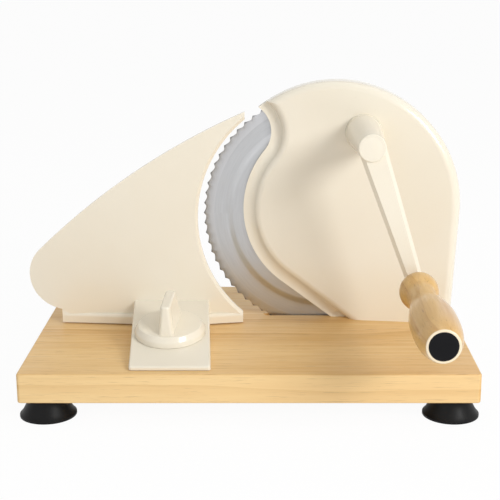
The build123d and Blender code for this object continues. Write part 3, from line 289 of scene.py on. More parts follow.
def newFinish(
    name, effect, values, mapping=None, bump=0.1, bumpDistance=0.0002, shader=None, vectorFrom=None,
):
    material = bpy.data.materials.new(name)
    material.use_nodes = True
    tree = material.node_tree
    tree.nodes.clear()
    target = addNode(tree, "ShaderNodeOutputMaterial")
    surface = addNode(tree, "ShaderNodeBsdfPrincipled")
    wire(tree, surface.outputs[0], target.inputs["Surface"])
    for label, value in (shader or {}).items():
        surface.inputs[label].default_value = value
    coordinates = addNode(tree, "ShaderNodeTexCoord")
    vector = coordinates.outputs["Object"]
    if mapping:
        vector = stretch(tree, vector, **mapping)
    if vectorFrom:
        vector = vectorFrom(tree, vector)
    skin = addNode(tree, "ShaderNodeGroup", node_tree=effects[effect])
    wire(tree, vector, skin.inputs["Vector"])
    for label, value in values.items():
        skin.inputs[label].default_value = value
    wire(tree, skin.outputs["Color"], surface.inputs["Base Color"])
    wire(tree, skin.outputs["Roughness"], surface.inputs["Roughness"])
    relief = addNode(tree, "ShaderNodeBump")
    relief.inputs["Strength"].default_value = bump
    relief.inputs["Distance"].default_value = bumpDistance
    wire(tree, skin.outputs["Height"], relief.inputs["Height"])
    wire(tree, relief.outputs["Normal"], surface.inputs["Normal"])
    return material


def colorFeed(material):
    # where a finish's colour goes in, what feeds it now, and the finish's place vector
    tree = material.node_tree
    target = next(n for n in tree.nodes if n.type == "BSDF_PRINCIPLED").inputs["Base Color"]
    coordinates = next(n for n in tree.nodes if n.type == "TEX_COORD")
    return tree, target, target.links[0].from_socket, coordinates.outputs["Object"]


def paintedLightAndPaleGrain(material, axis, edge, softness, tint, strength):
    # a paler surface in front of a depth in mm: painted light where a face is turned to the lamps, with pale
    # end grain at the grip's end
    tree, target, before, vector = colorFeed(material)
    parts = addNode(tree, "ShaderNodeSeparateXYZ")
    wire(tree, vector, parts.inputs[0])
    mask = remap(tree, parts.outputs[axis], (edge - softness) * mm, (edge + softness) * mm, strength, 0.0)
    wire(tree, blendColor(tree, mask, before, tint), target)


def aroundAxis(centre):
    # turns place into (radius, angle, depth) about a front-to-back axis, so that lines run round it
    def build(tree, vector):
        parts = addNode(tree, "ShaderNodeSeparateXYZ")
        wire(tree, stretch(tree, vector, location=(-centre.x, 0, -centre.z)), parts.inputs[0])
        flat = addNode(tree, "ShaderNodeCombineXYZ")
        wire(tree, parts.outputs["X"], flat.inputs["X"])
        wire(tree, parts.outputs["Z"], flat.inputs["Y"])
        radius = addNode(tree, "ShaderNodeVectorMath", operation="LENGTH")
        wire(tree, flat.outputs[0], radius.inputs[0])
        packed = addNode(tree, "ShaderNodeCombineXYZ")
        wire(tree, radius.outputs["Value"], packed.inputs["X"])
        angle = math2(tree, "ARCTAN2", parts.outputs["Z"], parts.outputs["X"])
        wire(tree, math2(tree, "MULTIPLY", angle, 0.2), packed.inputs["Y"])
        wire(tree, parts.outputs["Y"], packed.inputs["Z"])
        return packed.outputs[0]
    return build


bladeAt = (57.9, 135, 83.7)
crownAt = (65.4, 93.2)  # middle of the housing's round top, across and up
gripEnd = -84.4
bladeCentre = place(*bladeAt)

creamEnamel = newFinish(
    "creamEnamel", "enamelSkin", {},
    bump=0.03,
    shader={"Coat Weight": 0.35, "Coat Roughness": 0.12, "Specular IOR Level": 0.45},
)
creamMoulding = newFinish(
    "creamMoulding", "enamelSkin",
    {
        "Tint": rgb(243, 236, 220), "Shade": rgb(240, 232, 214),
        "Cloud Size": 30.0, "Speck Amount": 0.1, "Gloss": 0.18,
    },
    bump=0.02,
    shader={"Coat Weight": 0.2, "Coat Roughness": 0.1, "Specular IOR Level": 0.5},
)
boardWood = newFinish(
    "boardWood", "woodFigure", {},
    bump=0.25, bumpDistance=0.0003,
    shader={"Specular IOR Level": 0.4},
)
# painted light: the board's front face made paler, as the lamps light it more than the top
paintedLightAndPaleGrain(boardWood, "Y", rowOffset.y + 0.1, 0.25, rgb(255, 228, 176), 0.55)
gripWood = newFinish(
    "gripWood", "woodFigure",
    {
        "Light": rgb(226, 186, 114), "Dark": rgb(196, 148, 80), "Pore": rgb(130, 82, 36),
        "Ring Scale": 120.0, "Figure": 0.45, "Pores": 0.5,
    },
    mapping={"rotation": (0, 0, math.radians(90))},
    bump=0.12, bumpDistance=0.0002,
    shader={"Coat Weight": 0.6, "Coat Roughness": 0.12, "Specular IOR Level": 0.5},
)
# pale end grain and a painted highlight on the grip's end, round the plug
paintedLightAndPaleGrain(gripWood, "Y", rowOffset.y + gripEnd + 0.5, 0.3, rgb(252, 240, 214), 0.8)
bladeSteel = newFinish(
    "bladeSteel", "brushedLines",
    {"Base": rgb(196, 197, 199), "Line": rgb(188, 189, 191), "Density": 900.0, "Gloss": 0.34},
    vectorFrom=aroundAxis(bladeCentre),
    bump=0.05, bumpDistance=0.0001,
    shader={"Metallic": 1.0},
)
bandOnBlade = {
    "edge": 94.0, "grindFrom": 86.6,
    "grindTone": rgb(206, 206, 209), "edgeTone": rgb(126, 127, 132),
}


def ringBands(material, centre, look):
    # the ground band inside the teeth and the thin dark burr at their points
    tree, target, before, vector = colorFeed(material)
    parts = addNode(tree, "ShaderNodeSeparateXYZ")
    wire(tree, aroundAxis(centre)(tree, vector), parts.inputs[0])
    radius = parts.outputs["X"]
    grind, edge = look["grindFrom"], look["edge"]
    ground = remap(tree, radius, (grind - 0.3) * mm, (grind + 0.3) * mm, 0.0, 0.55)
    color = blendColor(tree, ground, before, look["grindTone"])
    burr = remap(tree, radius, (edge - 0.7) * mm, (edge + 0.5) * mm, 0.0, 0.8)
    wire(tree, blendColor(tree, burr, color, look["edgeTone"]), target)


ringBands(bladeSteel, bladeCentre, bandOnBlade)
turnedSteel = newFinish(
    "turnedSteel", "brushedLines",
    {"Base": rgb(196, 197, 200), "Line": rgb(168, 169, 173), "Density": 2500.0, "Gloss": 0.24},
    mapping={"scale": (0.2, 1, 0.2), "rotation": (0, 0, math.radians(90))},
    bump=0.05, bumpDistance=0.00005,
    shader={"Metallic": 1.0},
)
gearSteel = newFinish(
    "gearSteel", "brushedLines",
    {"Base": rgb(170, 170, 172), "Line": rgb(128, 127, 126), "Density": 500.0, "Gloss": 0.36},
    vectorFrom=aroundAxis(bladeCentre),
    bump=0.08, bumpDistance=0.0001,
    shader={"Metallic": 1.0},
)
zincPlate = newFinish(
    "zincPlate", "brushedLines",
    {"Base": rgb(206, 206, 204), "Line": rgb(182, 182, 178), "Density": 900.0, "Gloss": 0.26},
    bump=0.04, bumpDistance=0.00005,
    shader={"Metallic": 1.0},
)
drawnAluminium = newFinish(
    "drawnAluminium", "brushedLines",
    {"Base": rgb(214, 215, 217), "Line": rgb(190, 191, 194), "Density": 1200.0, "Gloss": 0.34},
    bump=0.06, bumpDistance=0.00005,
    shader={"Metallic": 1.0},
)
bronze = newFinish(
    "bronze", "brushedLines",
    {"Base": rgb(196, 150, 84), "Line": rgb(160, 116, 58), "Density": 1200.0, "Gloss": 0.3},
    bump=0.05, bumpDistance=0.00005,
    shader={"Metallic": 1.0},
)
footRubber = newFinish(
    "footRubber", "dustFilm",
    {"Base": rgb(14, 14, 15), "Dust": rgb(60, 59, 58), "Amount": 0.1, "Gloss": 0.42},
    bump=0.08, bumpDistance=0.0001,
    shader={"Specular IOR Level": 0.16},
)
blackCap = newFinish(
    "blackCap", "dustFilm",
    {"Base": rgb(15, 15, 18), "Dust": rgb(48, 48, 52), "Amount": 0.1, "Gloss": 0.34},
    bump=0.05, bumpDistance=0.0001,
    shader={"Specular IOR Level": 0.14},
)
slidePlastic = newFinish(
    "slidePlastic", "dustFilm",
    {"Base": rgb(222, 220, 212), "Dust": rgb(170, 166, 154), "Amount": 0.25, "Gloss": 0.4},
    bump=0.05, bumpDistance=0.0001,
    shader={"Specular IOR Level": 0.4},
)
print("finishes ready")


# pieces that keep the shape of their CAD node, with clean shading

def smoothBelow(shaper, angle):
    # soft shading except where two faces meet at more than the angle
    for face in shaper.faces:
        face.smooth = True
    for edge in shaper.edges:
        edge.smooth = len(edge.link_faces) == 2 and edge.calc_face_angle(0.0) < math.radians(angle)


def dressedCopy(node, name, finish, body, angle=32.0):
    source = nodes[node]
    mesh = source.data.copy()
    mesh.name = name
    shaper = bmesh.new()
    shaper.from_mesh(mesh)
    bmesh.ops.remove_doubles(shaper, verts=shaper.verts, dist=2e-6)
    bmesh.ops.dissolve_degenerate(shaper, dist=1e-6, edges=shaper.edges)
    smoothBelow(shaper, angle)
    shaper.to_mesh(mesh)
    shaper.free()
    mesh.materials.clear()
    mesh.materials.append(finish)
    piece = bpy.data.objects.new(name, mesh)
    scene.collection.objects.link(piece)
    weighted = piece.modifiers.new("evenShading", "WEIGHTED_NORMAL")
    weighted.keep_sharp = True
    weighted.weight = 100
    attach(piece, body)
    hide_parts(node)
    return piece


dressed = [
    ("base_board", "board", boardWood, "board_wood", "base"),
    ("gear_housing", "housingCasting", creamEnamel, "cream_paint", "base"),
    ("rear_cover", "rearCover", creamEnamel, "cream_paint", "base"),
    ("stop_plate", "stopPlateCasting", creamEnamel, "cream_paint", "stop"),
    ("thickness_dial", "dialKnob", creamMoulding, "cream_plastic", "dial"),
    ("crank_arm", "crankCasting", creamEnamel, "cream_arm", "crank"),
    ("hub_cap", "hubDisc", creamMoulding, "hub_cap_plastic", "crank"),
    ("wooden_grip", "turnedGrip", gripWood, "grip_wood", "grip"),
    ("grip_end_cap", "gripPlug", blackCap, "black_plastic", "grip"),
    ("guide_rail", "railChannel", drawnAluminium, "rail_aluminium", "base"),
]
for corner in ("front_left", "front_right", "back_left", "back_right"):
    dressed.append(("suction_foot_" + corner, "rubberFoot_" + corner, footRubber, "foot_rubber", "base"))
for node, name, finish, slot, body in dressed:
    dressedCopy(node, name, finish, body)
print("castings, board and grip dressed:", len(dressed))


# blade: lathe-turned disc whose rim a node tree cuts into hooked teeth

bladeLook = {
    "teeth": 74,
    "stepsPerTooth": 8,
    "toothDepth": 1.9,
    "hook": 0.3,
    "toothStart": 89.0,
    "rim": 95.0,
    "profile": [  # radius and depth, in mm from the board's front edge
        (12.0, 133.5), (40.0, 133.5), (70.6, 133.5), (71.8, 133.56), (72.8, 133.8), (75.2, 134.7),
        (76.2, 134.94), (77.4, 135.0), (82.0, 135.0), (86.7, 135.0), (87.2, 135.03), (89.0, 135.2),
        (92.0, 135.54), (94.5, 135.84), (95.0, 135.95), (95.0, 136.5), (92.0, 136.5), (89.0, 136.5),
        (77.4, 136.5), (76.2, 136.44), (75.2, 136.2), (72.8, 135.3), (71.8, 135.06), (70.6, 135.0),
        (40.0, 135.0), (12.0, 135.0),
    ],
}


def toothTree(name, look, finish):
    # moves the rim's points inwards: steep on one side of a tooth, curved on the other
    tree = bpy.data.node_groups.new(name, "GeometryNodeTree")
    sockets = {}
    tree.interface.new_socket("Geometry", in_out="INPUT", socket_type="NodeSocketGeometry")
    for label, value in (
        ("Teeth", look["teeth"]), ("Tooth Depth", look["toothDepth"] * mm), ("Hook", look["hook"]),
        ("Tooth Start", look["toothStart"] * mm), ("Rim Radius", look["rim"] * mm),
    ):
        sockets[label] = tree.interface.new_socket(label, in_out="INPUT", socket_type="NodeSocketFloat")
        sockets[label].default_value = value
    tree.interface.new_socket("Geometry", in_out="OUTPUT", socket_type="NodeSocketGeometry")
    given = addNode(tree, "NodeGroupInput")
    result = addNode(tree, "NodeGroupOutput")
    at = addNode(tree, "GeometryNodeInputPosition")
    shifted = addNode(tree, "ShaderNodeVectorMath", operation="SUBTRACT")
    shifted.inputs[1].default_value = (bladeCentre.x, 0, bladeCentre.z)
    wire(tree, at.outputs[0], shifted.inputs[0])
    parts = addNode(tree, "ShaderNodeSeparateXYZ")
    wire(tree, shifted.outputs[0], parts.inputs[0])
    flat = addNode(tree, "ShaderNodeCombineXYZ")
    wire(tree, parts.outputs["X"], flat.inputs["X"])
    wire(tree, parts.outputs["Z"], flat.inputs["Z"])
    radius = addNode(tree, "ShaderNodeVectorMath", operation="LENGTH")
    wire(tree, flat.outputs[0], radius.inputs[0])
    angle = math2(tree, "ARCTAN2", parts.outputs["Z"], parts.outputs["X"])
    turns = math2(tree, "MULTIPLY", math2(tree, "DIVIDE", angle, 2 * math.pi), given.outputs["Teeth"])
    phase = math2(tree, "FRACT", math2(tree, "ADD", turns, 1000.001))
    rise = math2(tree, "DIVIDE", phase, given.outputs["Hook"])
    back = math2(tree, "SUBTRACT", phase, given.outputs["Hook"])
    back = math2(tree, "DIVIDE", back, math2(tree, "SUBTRACT", 1.0, given.outputs["Hook"]))
    back = math2(tree, "MAXIMUM", back, 0.0)
    fall = math2(tree, "SUBTRACT", 1.0, math2(tree, "POWER", back, 1.6))
    bite = math2(tree, "MINIMUM", rise, fall)
    fade = math2(tree, "SUBTRACT", radius.outputs["Value"], given.outputs["Tooth Start"])
    fade = math2(
        tree, "DIVIDE", fade,
        math2(tree, "SUBTRACT", given.outputs["Rim Radius"], given.outputs["Tooth Start"]), clamp=True,
    )
    cut = math2(tree, "MULTIPLY", math2(tree, "MULTIPLY", bite, fade), given.outputs["Tooth Depth"])
    inward = addNode(tree, "ShaderNodeVectorMath", operation="NORMALIZE")
    wire(tree, flat.outputs[0], inward.inputs[0])
    shift = addNode(tree, "ShaderNodeVectorMath", operation="SCALE")
    wire(tree, inward.outputs[0], shift.inputs[0])
    wire(tree, math2(tree, "MULTIPLY", cut, -1.0), shift.inputs["Scale"])
    moved = addNode(tree, "GeometryNodeSetPosition")
    wire(tree, given.outputs["Geometry"], moved.inputs["Geometry"])
    wire(tree, shift.outputs[0], moved.inputs["Offset"])
    realized = addNode(tree, "GeometryNodeRealizeInstances")
    wire(tree, moved.outputs[0], realized.inputs[0])
    painted = addNode(tree, "GeometryNodeSetMaterial")
    painted.inputs["Material"].default_value = finish
    wire(tree, realized.outputs[0], painted.inputs["Geometry"])
    wire(tree, painted.outputs[0], result.inputs[0])
    return tree, {label: socket.identifier for label, socket in sockets.items()}


def latheMesh(name, profile, centre, steps):
    # turns a closed (radius, depth) profile about a front-to-back axis
    shaper = bmesh.new()
    rings = []
    for step in range(steps):
        turn = 2 * math.pi * step / steps
        rings.append([
            shaper.verts.new((
                centre.x + r * mm * math.cos(turn),
                (y + rowOffset.y) * mm,
                centre.z + r * mm * math.sin(turn),
            ))
            for r, y in profile
        ])
    count = len(profile)
    for step in range(steps):
        here, following = rings[step], rings[(step + 1) % steps]
        for n in range(count):
            m = (n + 1) % count
            shaper.faces.new((here[n], following[n], following[m], here[m]))
    bmesh.ops.recalc_face_normals(shaper, faces=shaper.faces)
    mesh = bpy.data.meshes.new(name)
    shaper.to_mesh(mesh)
    shaper.free()
    return mesh


def plainMeshFrom(piece, name):
    # the evaluated result of a piece's modifiers, as a mesh of its own
    graph = bpy.context.evaluated_depsgraph_get()
    mesh = bpy.data.meshes.new_from_object(piece.evaluated_get(graph))
    mesh.name = name
    piece.modifiers.clear()
    piece.data = mesh


def shadeByAngle(mesh, angle):
    shaper = bmesh.new()
    shaper.from_mesh(mesh)
    smoothBelow(shaper, angle)
    shaper.to_mesh(mesh)
    shaper.free()


bladeSteps = bladeLook["teeth"] * bladeLook["stepsPerTooth"]
turnedDisc = latheMesh("toothedBlade", bladeLook["profile"], bladeCentre, bladeSteps)
blade = bpy.data.objects.new("toothedBlade", turnedDisc)
scene.collection.objects.link(blade)
blade.data.materials.append(bladeSteel)
tree, identifiers = toothTree("cutTeeth", bladeLook, bladeSteel)
cutter = blade.modifiers.new("cutTeeth", "NODES")
cutter.node_group = tree
cutter[identifiers["Teeth"]] = float(bladeLook["teeth"])
cutter[identifiers["Tooth Depth"]] = bladeLook["toothDepth"] * mm
plainMeshFrom(blade, "toothedBlade")
shadeByAngle(blade.data, 30)
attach(blade, "blade_set")
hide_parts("blade")
print("blade teeth cut")


# cove that runs the thin lip smoothly up into the crest beside the blade

coveLook = {
    "lipCentre": (66.6, 88.3), "lipRadius": 72.4, "lipEnd": 233.0,
    "notchCentre": (-6.9, 148.7), "notchStart": 31.0,
    "lipFront": 129.98,     # depth of the thin lip's front
    "start": 1.6,           # distance of the cove's foot from the lip's edge
    "crestAt": 14.5, "crestRadius": 6.5,
    "face": ((-30, 125.5), (70, 122.0), (175, 107.5)), "faceLean": 1.5,
    "sinkOver": 7.0,        # mm of path over which the cove's upper end comes out of the lip
    "steps": 16,            # faces across the cove
    "notchSteps": 46, "lipSteps": 120, "tailSteps": 24,
}


def circleThrough(a, b, c):
    ax, ay, bx, by, cx, cy = *a, *b, *c
    d = 2 * (ax * (by - cy) + bx * (cy - ay) + cx * (ay - by))
    ux = ((ax**2 + ay**2) * (by - cy) + (bx**2 + by**2) * (cy - ay) + (cx**2 + cy**2) * (ay - by)) / d
    uy = ((ax**2 + ay**2) * (cx - bx) + (bx**2 + by**2) * (ax - cx) + (cx**2 + cy**2) * (bx - ax)) / d
    return ux, uy, math.hypot(ax - ux, ay - uy)


def coveStrip(name, look):
    faceX, faceY, faceR = circleThrough(*look["face"])
    lean = math.radians(look["faceLean"])

    def faceDepth(x, z):
        return (faceY + math.sqrt(faceR**2 - (x - faceX) ** 2)) / math.cos(lean) - z * math.tan(lean)

    lipX, lipZ = look["lipCentre"]
    notchX, notchZ = look["notchCentre"]
    notchR = math.hypot(notchX - lipX, notchZ - lipZ) - look["lipRadius"]
    joint = math.degrees(math.atan2(notchZ - lipZ, notchX - lipX)) % 360
    stations = []  # place on the lip's edge and the way into the body
    for n in range(look["notchSteps"]):
        a = math.radians(look["notchStart"] + (joint - 180 - look["notchStart"]) * n / look["notchSteps"])
        c, s = math.cos(a), math.sin(a)
        stations.append((notchX + notchR * c, notchZ + notchR * s, c, s))
    for n in range(look["lipSteps"] + 1):
        a = math.radians(joint + (look["lipEnd"] - joint) * n / look["lipSteps"])
        c, s = math.cos(a), math.sin(a)
        stations.append((lipX + look["lipRadius"] * c, lipZ + look["lipRadius"] * s, -c, -s))
    x, z, nx, nz = stations[-1]
    run = z / abs(nx)
    tail = look["tailSteps"]
    for n in range(1, tail + 1):
        stations.append((x + nz * run * n / tail, z - nx * run * n / tail, nx, nz))
    shaper = bmesh.new()
    rows = []
    travelled = 0.0
    for index, (x, z, nx, nz) in enumerate(stations):
        if index:
            travelled += math.hypot(x - stations[index - 1][0], z - stations[index - 1][1])
        crest, radius, start = look["crestAt"], look["crestRadius"], look["start"]
        height = look["lipFront"] - faceDepth(x + crest * nx, z + crest * nz)
        across = crest - start
        cove = (across**2 + height**2) / (2 * height) - radius
        reach = math.atan2(across, cove + radius - height)  # angle from straight back to the crest's centre
        sink = (1 - min(travelled / look["sinkOver"], 1.0)) ** 2 * height
        row = []
        for n in range(look["steps"] + 1):
            turn = reach * 1.03 * n / look["steps"]
            d = start + cove * math.sin(turn)
            y = look["lipFront"] - cove + cove * math.cos(turn) + sink
            row.append(shaper.verts.new(tuple(place(x + d * nx, y, max(z + d * nz, 0.0)))))
        rows.append(row)
    for first, second in zip(rows, rows[1:]):
        for n in range(look["steps"]):
            shaper.faces.new((first[n], first[n + 1], second[n + 1], second[n]))
    shaper.normal_update()
    if sum(face.normal.y for face in shaper.faces) > 0:
        bmesh.ops.reverse_faces(shaper, faces=shaper.faces)
    for face in shaper.faces:
        face.smooth = True
    mesh = bpy.data.meshes.new(name)
    shaper.to_mesh(mesh)
    shaper.free()
    mesh.materials.append(creamEnamel)
    piece = bpy.data.objects.new(name, mesh)
    scene.collection.objects.link(piece)
    return piece


cove = coveStrip("lipCove", coveLook)
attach(cove, "base")
print("lip cove laid")


# screws: one modelled screw with a cross recess, set out by a node tree

coverRing = 91.6  # radius on which the cover's round edge is screwed down
bladeRing = 19    # radius of the blade's three screws
screwSpin = 1.5   # most that chance turns a screw, in radians

screwKinds = {
    "cover_screws": {
        "places": [
            (
                crownAt[0] + coverRing * math.cos(math.radians(a)),
                136.48,
                crownAt[1] + coverRing * math.sin(math.radians(a)),
            )
            for a in (100, 62, 24)
        ] + [(148, 136.48, 12)],
        "facing": "back", "shankRadius": 1.25, "reach": 8.0,
        "headRadius": 2.28, "headHeight": 0.0, "sink": 1.0, "recess": 0.62, "body": "base",
    },
    "blade_screws": {
        "places": [
            (
                bladeAt[0] + bladeRing * math.cos(math.radians(a)),
                135.02,
                bladeAt[2] + bladeRing * math.sin(math.radians(a)),
            )
            for a in (90, 210, 330)
        ],
        "facing": "back", "shankRadius": 1.5, "reach": 6.7,
        "headRadius": 3.0, "headHeight": 1.2, "sink": 0.0, "recess": 0.8, "body": "blade_set",
    },
    "foot_screws": {
        "places": [(x, y, -28.3) for y in (18.3, 196.7) for x in (-143, 143)],
        "facing": "down", "shankRadius": 2.0, "reach": 18.6,
        "headRadius": 4.5, "headHeight": 2.6, "sink": 0.0, "recess": 1.7, "body": "base",
    },
    "housing_screws": {
        "places": [(94, 128.6, -15.4), (121, 126, -15.4), (147, 122, -15.4)],
        "facing": "down", "shankRadius": 1.7, "reach": 25.4,
        "headRadius": 3.6, "headHeight": 2.4, "sink": 0.0, "recess": 1.6, "body": "base",
    },
}


def screwMesh(name, look, steps=36, pitch=1.0, root=0.84):
    # local Z points out of the head, the seat is at zero
    headR, headH, shankR = look["headRadius"], look["headHeight"], look["shankRadius"]
    rows = [(shankR * 0.45, -look["reach"]), (shankR * 0.8, -look["reach"] + 0.5)]
    turns = int(look["reach"] / (1.1 * pitch)) - 1
    for n in range(turns):
        z = -look["reach"] + 0.9 + n * pitch
        rows += [(shankR * root, z), (shankR, z + 0.35), (shankR * root, z + 0.7)]  # thread as rings
    rows = [row for row in rows if row[1] < -look["sink"] - 0.4]
    rows += [(shankR, -look["sink"] - 0.3), (shankR, -look["sink"])]
    if look["sink"]:
        rows += [(headR - 0.06, -0.1), (headR, -0.03), (headR - 0.05, 0.0)]
    else:
        rows += [(headR * 0.97, 0.0), (headR, headH * 0.1), (headR, headH * 0.5)]
        for a in (20, 40, 60, 80):
            t = math.radians(a)
            rows.append((headR * (0.72 + 0.28 * math.cos(t)), headH * (0.5 + 0.5 * math.sin(t))))
    topZ = rows[-1][1]
    shaper = bmesh.new()
    rings = []
    for r, z in rows:
        ring = []
        for n in range(steps):
            turn = 2 * math.pi * n / steps
            ring.append(shaper.verts.new((r * mm * math.cos(turn), r * mm * math.sin(turn), z * mm)))
        rings.append(ring)
    for low, high in zip(rings, rings[1:]):
        for n in range(steps):
            m = (n + 1) % steps
            shaper.faces.new((low[n], low[m], high[m], high[n]))
    shaper.faces.new(list(reversed(rings[0])))
    # cross recess: a plus outline let into the top, narrowing towards its floor
    driver = min(headR, 3.4)
    arm, bar = driver * 0.56, driver * 0.13
    fillet = bar * 1.5
    plus = [
        (arm, -bar), (arm, bar), (fillet, fillet), (bar, arm), (-bar, arm), (-fillet, fillet),
        (-arm, bar), (-arm, -bar), (-fillet, -fillet), (-bar, -arm), (bar, -arm), (fillet, -fillet),
    ]
    upper = [shaper.verts.new((x * mm, y * mm, topZ * mm)) for x, y in plus]
    lower = [shaper.verts.new((x * 0.62 * mm, y * 0.62 * mm, (topZ - look["recess"]) * mm)) for x, y in plus]
    border = [shaper.edges.new((upper[n], upper[(n + 1) % 12])) for n in range(12)]
    rim = [shaper.edges.get((rings[-1][n], rings[-1][(n + 1) % steps])) for n in range(steps)]
    bmesh.ops.triangle_fill(shaper, use_beauty=True, edges=border + rim)
    for n in range(12):
        m = (n + 1) % 12
        shaper.faces.new((upper[n], upper[m], lower[m], lower[n]))
    shaper.faces.new(lower)
    bmesh.ops.recalc_face_normals(shaper, faces=shaper.faces)
    mesh = bpy.data.meshes.new(name)
    shaper.to_mesh(mesh)
    shaper.free()
    return mesh


def setOutTree(name, source, finish, facing, seed):
    # a copy of the source on every point, turned to face its way and spun by chance
    tree = bpy.data.node_groups.new(name, "GeometryNodeTree")
    tree.interface.new_socket("Geometry", in_out="INPUT", socket_type="NodeSocketGeometry")
    seedSocket = tree.interface.new_socket("Seed", in_out="INPUT", socket_type="NodeSocketInt")
    seedSocket.default_value = seed
    spinSocket = tree.interface.new_socket("Spin", in_out="INPUT", socket_type="NodeSocketFloat")
    spinSocket.default_value = screwSpin
    tree.interface.new_socket("Geometry", in_out="OUTPUT", socket_type="NodeSocketGeometry")
    given = addNode(tree, "NodeGroupInput")
    result = addNode(tree, "NodeGroupOutput")
    model = addNode(tree, "GeometryNodeObjectInfo", transform_space="ORIGINAL")
    model.inputs["Object"].default_value = source
    chance = addNode(tree, "FunctionNodeRandomValue", data_type="FLOAT")
    wire(tree, given.outputs["Spin"], socketOf(chance.inputs, "VALUE", "Max"))
    wire(tree, given.outputs["Seed"], chance.inputs["Seed"])
    spin = addNode(tree, "ShaderNodeCombineXYZ")
    wire(tree, socketOf(chance.outputs, "VALUE"), spin.inputs["Z"])
    spread = addNode(tree, "GeometryNodeInstanceOnPoints")
    wire(tree, given.outputs["Geometry"], spread.inputs["Points"])
    wire(tree, model.outputs["Geometry"], spread.inputs["Instance"])
    tilt = {"back": -90, "down": 180}[facing]
    spread.inputs["Rotation"].default_value = (math.radians(tilt), 0, 0)
    spun = addNode(tree, "GeometryNodeRotateInstances")
    spun.inputs["Local Space"].default_value = True
    wire(tree, spread.outputs[0], spun.inputs["Instances"])
    wire(tree, spin.outputs[0], spun.inputs["Rotation"])
    realized = addNode(tree, "GeometryNodeRealizeInstances")
    wire(tree, spun.outputs[0], realized.inputs[0])
    painted = addNode(tree, "GeometryNodeSetMaterial")
    painted.inputs["Material"].default_value = finish
    wire(tree, realized.outputs[0], painted.inputs["Geometry"])
    wire(tree, painted.outputs[0], result.inputs[0])
    return tree, seedSocket.identifier, spinSocket.identifier


for number, (node, look) in enumerate(screwKinds.items()):
    pattern = bpy.data.objects.new(node + "Pattern", screwMesh(node + "Pattern", look))
    scene.collection.objects.link(pattern)
    points = bpy.data.meshes.new(node + "Set")
    points.from_pydata([tuple(place(*p)) for p in look["places"]], [], [])
    points.materials.append(zincPlate)
    placed = bpy.data.objects.new(node + "Set", points)
    scene.collection.objects.link(placed)
    tree, seedId, spinId = setOutTree(node + "SetOut", pattern, zincPlate, look["facing"], 11 + number)
    setter = placed.modifiers.new("setOut", "NODES")
    setter.node_group = tree
    setter[seedId] = 11 + number
    setter[spinId] = screwSpin
    plainMeshFrom(placed, node + "Set")
    shadeByAngle(placed.data, 34)
    bpy.data.objects.remove(pattern)
    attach(placed, look["body"])
    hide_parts(node)
print("screws set out:", len(screwKinds))


# nodes that only need a finish

plainFinishes = {
    "screw_steel": zincPlate,
    "turned_steel": turnedSteel,
    "gear_steel": gearSteel,
    "bush_brass": bronze,
    "washer_steel": zincPlate,
    "slide_plastic": slidePlastic,
}
replaced = {row[0] for row in dressed} | set(screwKinds) | {"blade"}
for entry in frame["record"]["subparts"]:
    if entry["node"] in replaced:
        continue
    target = nodes[entry["node"]]
    target.data.materials.clear()
    target.data.materials.append(plainFinishes[entry["material_slot"]])
print("hidden pieces finished")


# floor, light and camera

studio = {
    "floorSize": 40.0,
    "floorWhite": 0.95,     # share of plain white that the camera sees on the floor
    "worldLight": 0.44,
    "aim": (0, 0, 0.1),
    "boxes": {
        "keyBox": {
            "position": (0.85, -0.95, 0.70), "size": (0.45, 0.45), "power": 10.6, "tint": (1.0, 0.99, 0.975),
        },
        "fillBox": {"position": (-0.9, -1.0, 0.5), "size": (1.0, 0.8), "power": 1.2, "tint": (1, 1, 1)},
        "topBox": {"position": (0.1, 0.2, 1.3), "size": (1.2, 1.0), "power": 2.4, "tint": (1, 1, 1)},
    },
}
photoView = {
    "lens": 82.03, "shift": -0.0328, "tilt": 14.577,  # mm, share of the width, degrees below level
    "from": (12.065, -738.06, 280.661),
}


def whiteToCamera(tree, shader, share, kind="ShaderNodeEmission"):
    # camera, mirror and glass rays see white; light still falls and shades as usual
    rays = addNode(tree, "ShaderNodeLightPath")
    seen = math2(tree, "MAXIMUM", rays.outputs["Is Camera Ray"], rays.outputs["Is Glossy Ray"])
    seen = math2(tree, "MAXIMUM", seen, rays.outputs["Is Transmission Ray"])
    white = addNode(tree, kind)
    white.inputs["Color"].default_value = (1, 1, 1, 1)
    white.inputs["Strength"].default_value = 1.0
    mixed = addNode(tree, "ShaderNodeMixShader")
    wire(tree, math2(tree, "MULTIPLY", seen, share), mixed.inputs[0])
    wire(tree, shader, mixed.inputs[1])
    wire(tree, white.outputs[0], mixed.inputs[2])
    return mixed.outputs[0]


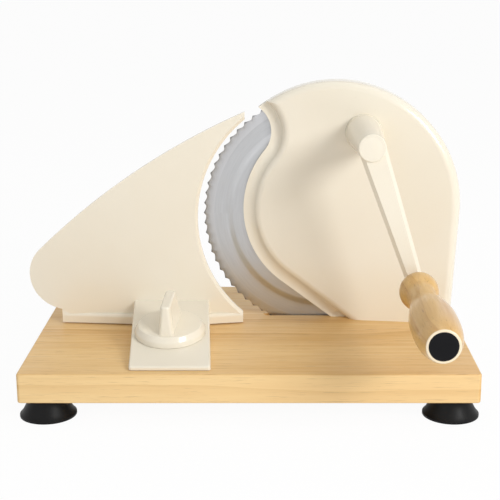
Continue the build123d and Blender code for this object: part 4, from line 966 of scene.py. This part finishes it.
floorMesh = bpy.data.meshes.new("studioFloor")
half = studio["floorSize"] / 2
corners = [(-half, -half, 0), (half, -half, 0), (half, half, 0), (-half, half, 0)]
floorMesh.from_pydata(corners, [], [(0, 1, 2, 3)])
floor = bpy.data.objects.new("studioFloor", floorMesh)
scene.collection.objects.link(floor)
floorPaint = bpy.data.materials.new("floorPaint")
floorPaint.use_nodes = True
floorTree = floorPaint.node_tree
floorTree.nodes.clear()
floorOut = addNode(floorTree, "ShaderNodeOutputMaterial")
floorBase = addNode(floorTree, "ShaderNodeBsdfDiffuse")
floorBase.inputs["Color"].default_value = (1, 1, 1, 1)
floorSeen = whiteToCamera(floorTree, floorBase.outputs[0], studio["floorWhite"])
wire(floorTree, floorSeen, floorOut.inputs["Surface"])
floorMesh.materials.append(floorPaint)

world = bpy.data.worlds.new("studioLight")
scene.world = world
world.use_nodes = True
worldTree = world.node_tree
worldTree.nodes.clear()
worldOut = addNode(worldTree, "ShaderNodeOutputWorld")
soft = addNode(worldTree, "ShaderNodeBackground")
soft.inputs["Color"].default_value = (1.0, 0.99, 0.97, 1)
soft.inputs["Strength"].default_value = studio["worldLight"]
worldSeen = whiteToCamera(worldTree, soft.outputs[0], 1.0, "ShaderNodeBackground")
wire(worldTree, worldSeen, worldOut.inputs["Surface"])


def softbox(name, position, size, power, tint):
    lamp = bpy.data.lights.new(name, "AREA")
    lamp.shape = "RECTANGLE"
    lamp.size, lamp.size_y = size
    lamp.energy = power
    lamp.color = tint
    holder = bpy.data.objects.new(name, lamp)
    holder.location = position
    holder.rotation_euler = (Vector(studio["aim"]) - Vector(position)).to_track_quat("-Z", "Y").to_euler()
    scene.collection.objects.link(holder)


for name, box in studio["boxes"].items():
    softbox(name, **box)

camera = bpy.data.cameras.new("photoCamera")
camera.sensor_width = 36.0
camera.lens = photoView["lens"]
camera.shift_x = photoView["shift"]
camera.clip_start = 0.05
camera.clip_end = 100
viewer = bpy.data.objects.new("photoCamera", camera)
viewer.location = place(*photoView["from"])
viewer.rotation_euler = (math.radians(90 - photoView["tilt"]), 0, 0)
scene.collection.objects.link(viewer)
scene.camera = viewer
scene.view_settings.view_transform = "Standard"
print("studio ready")
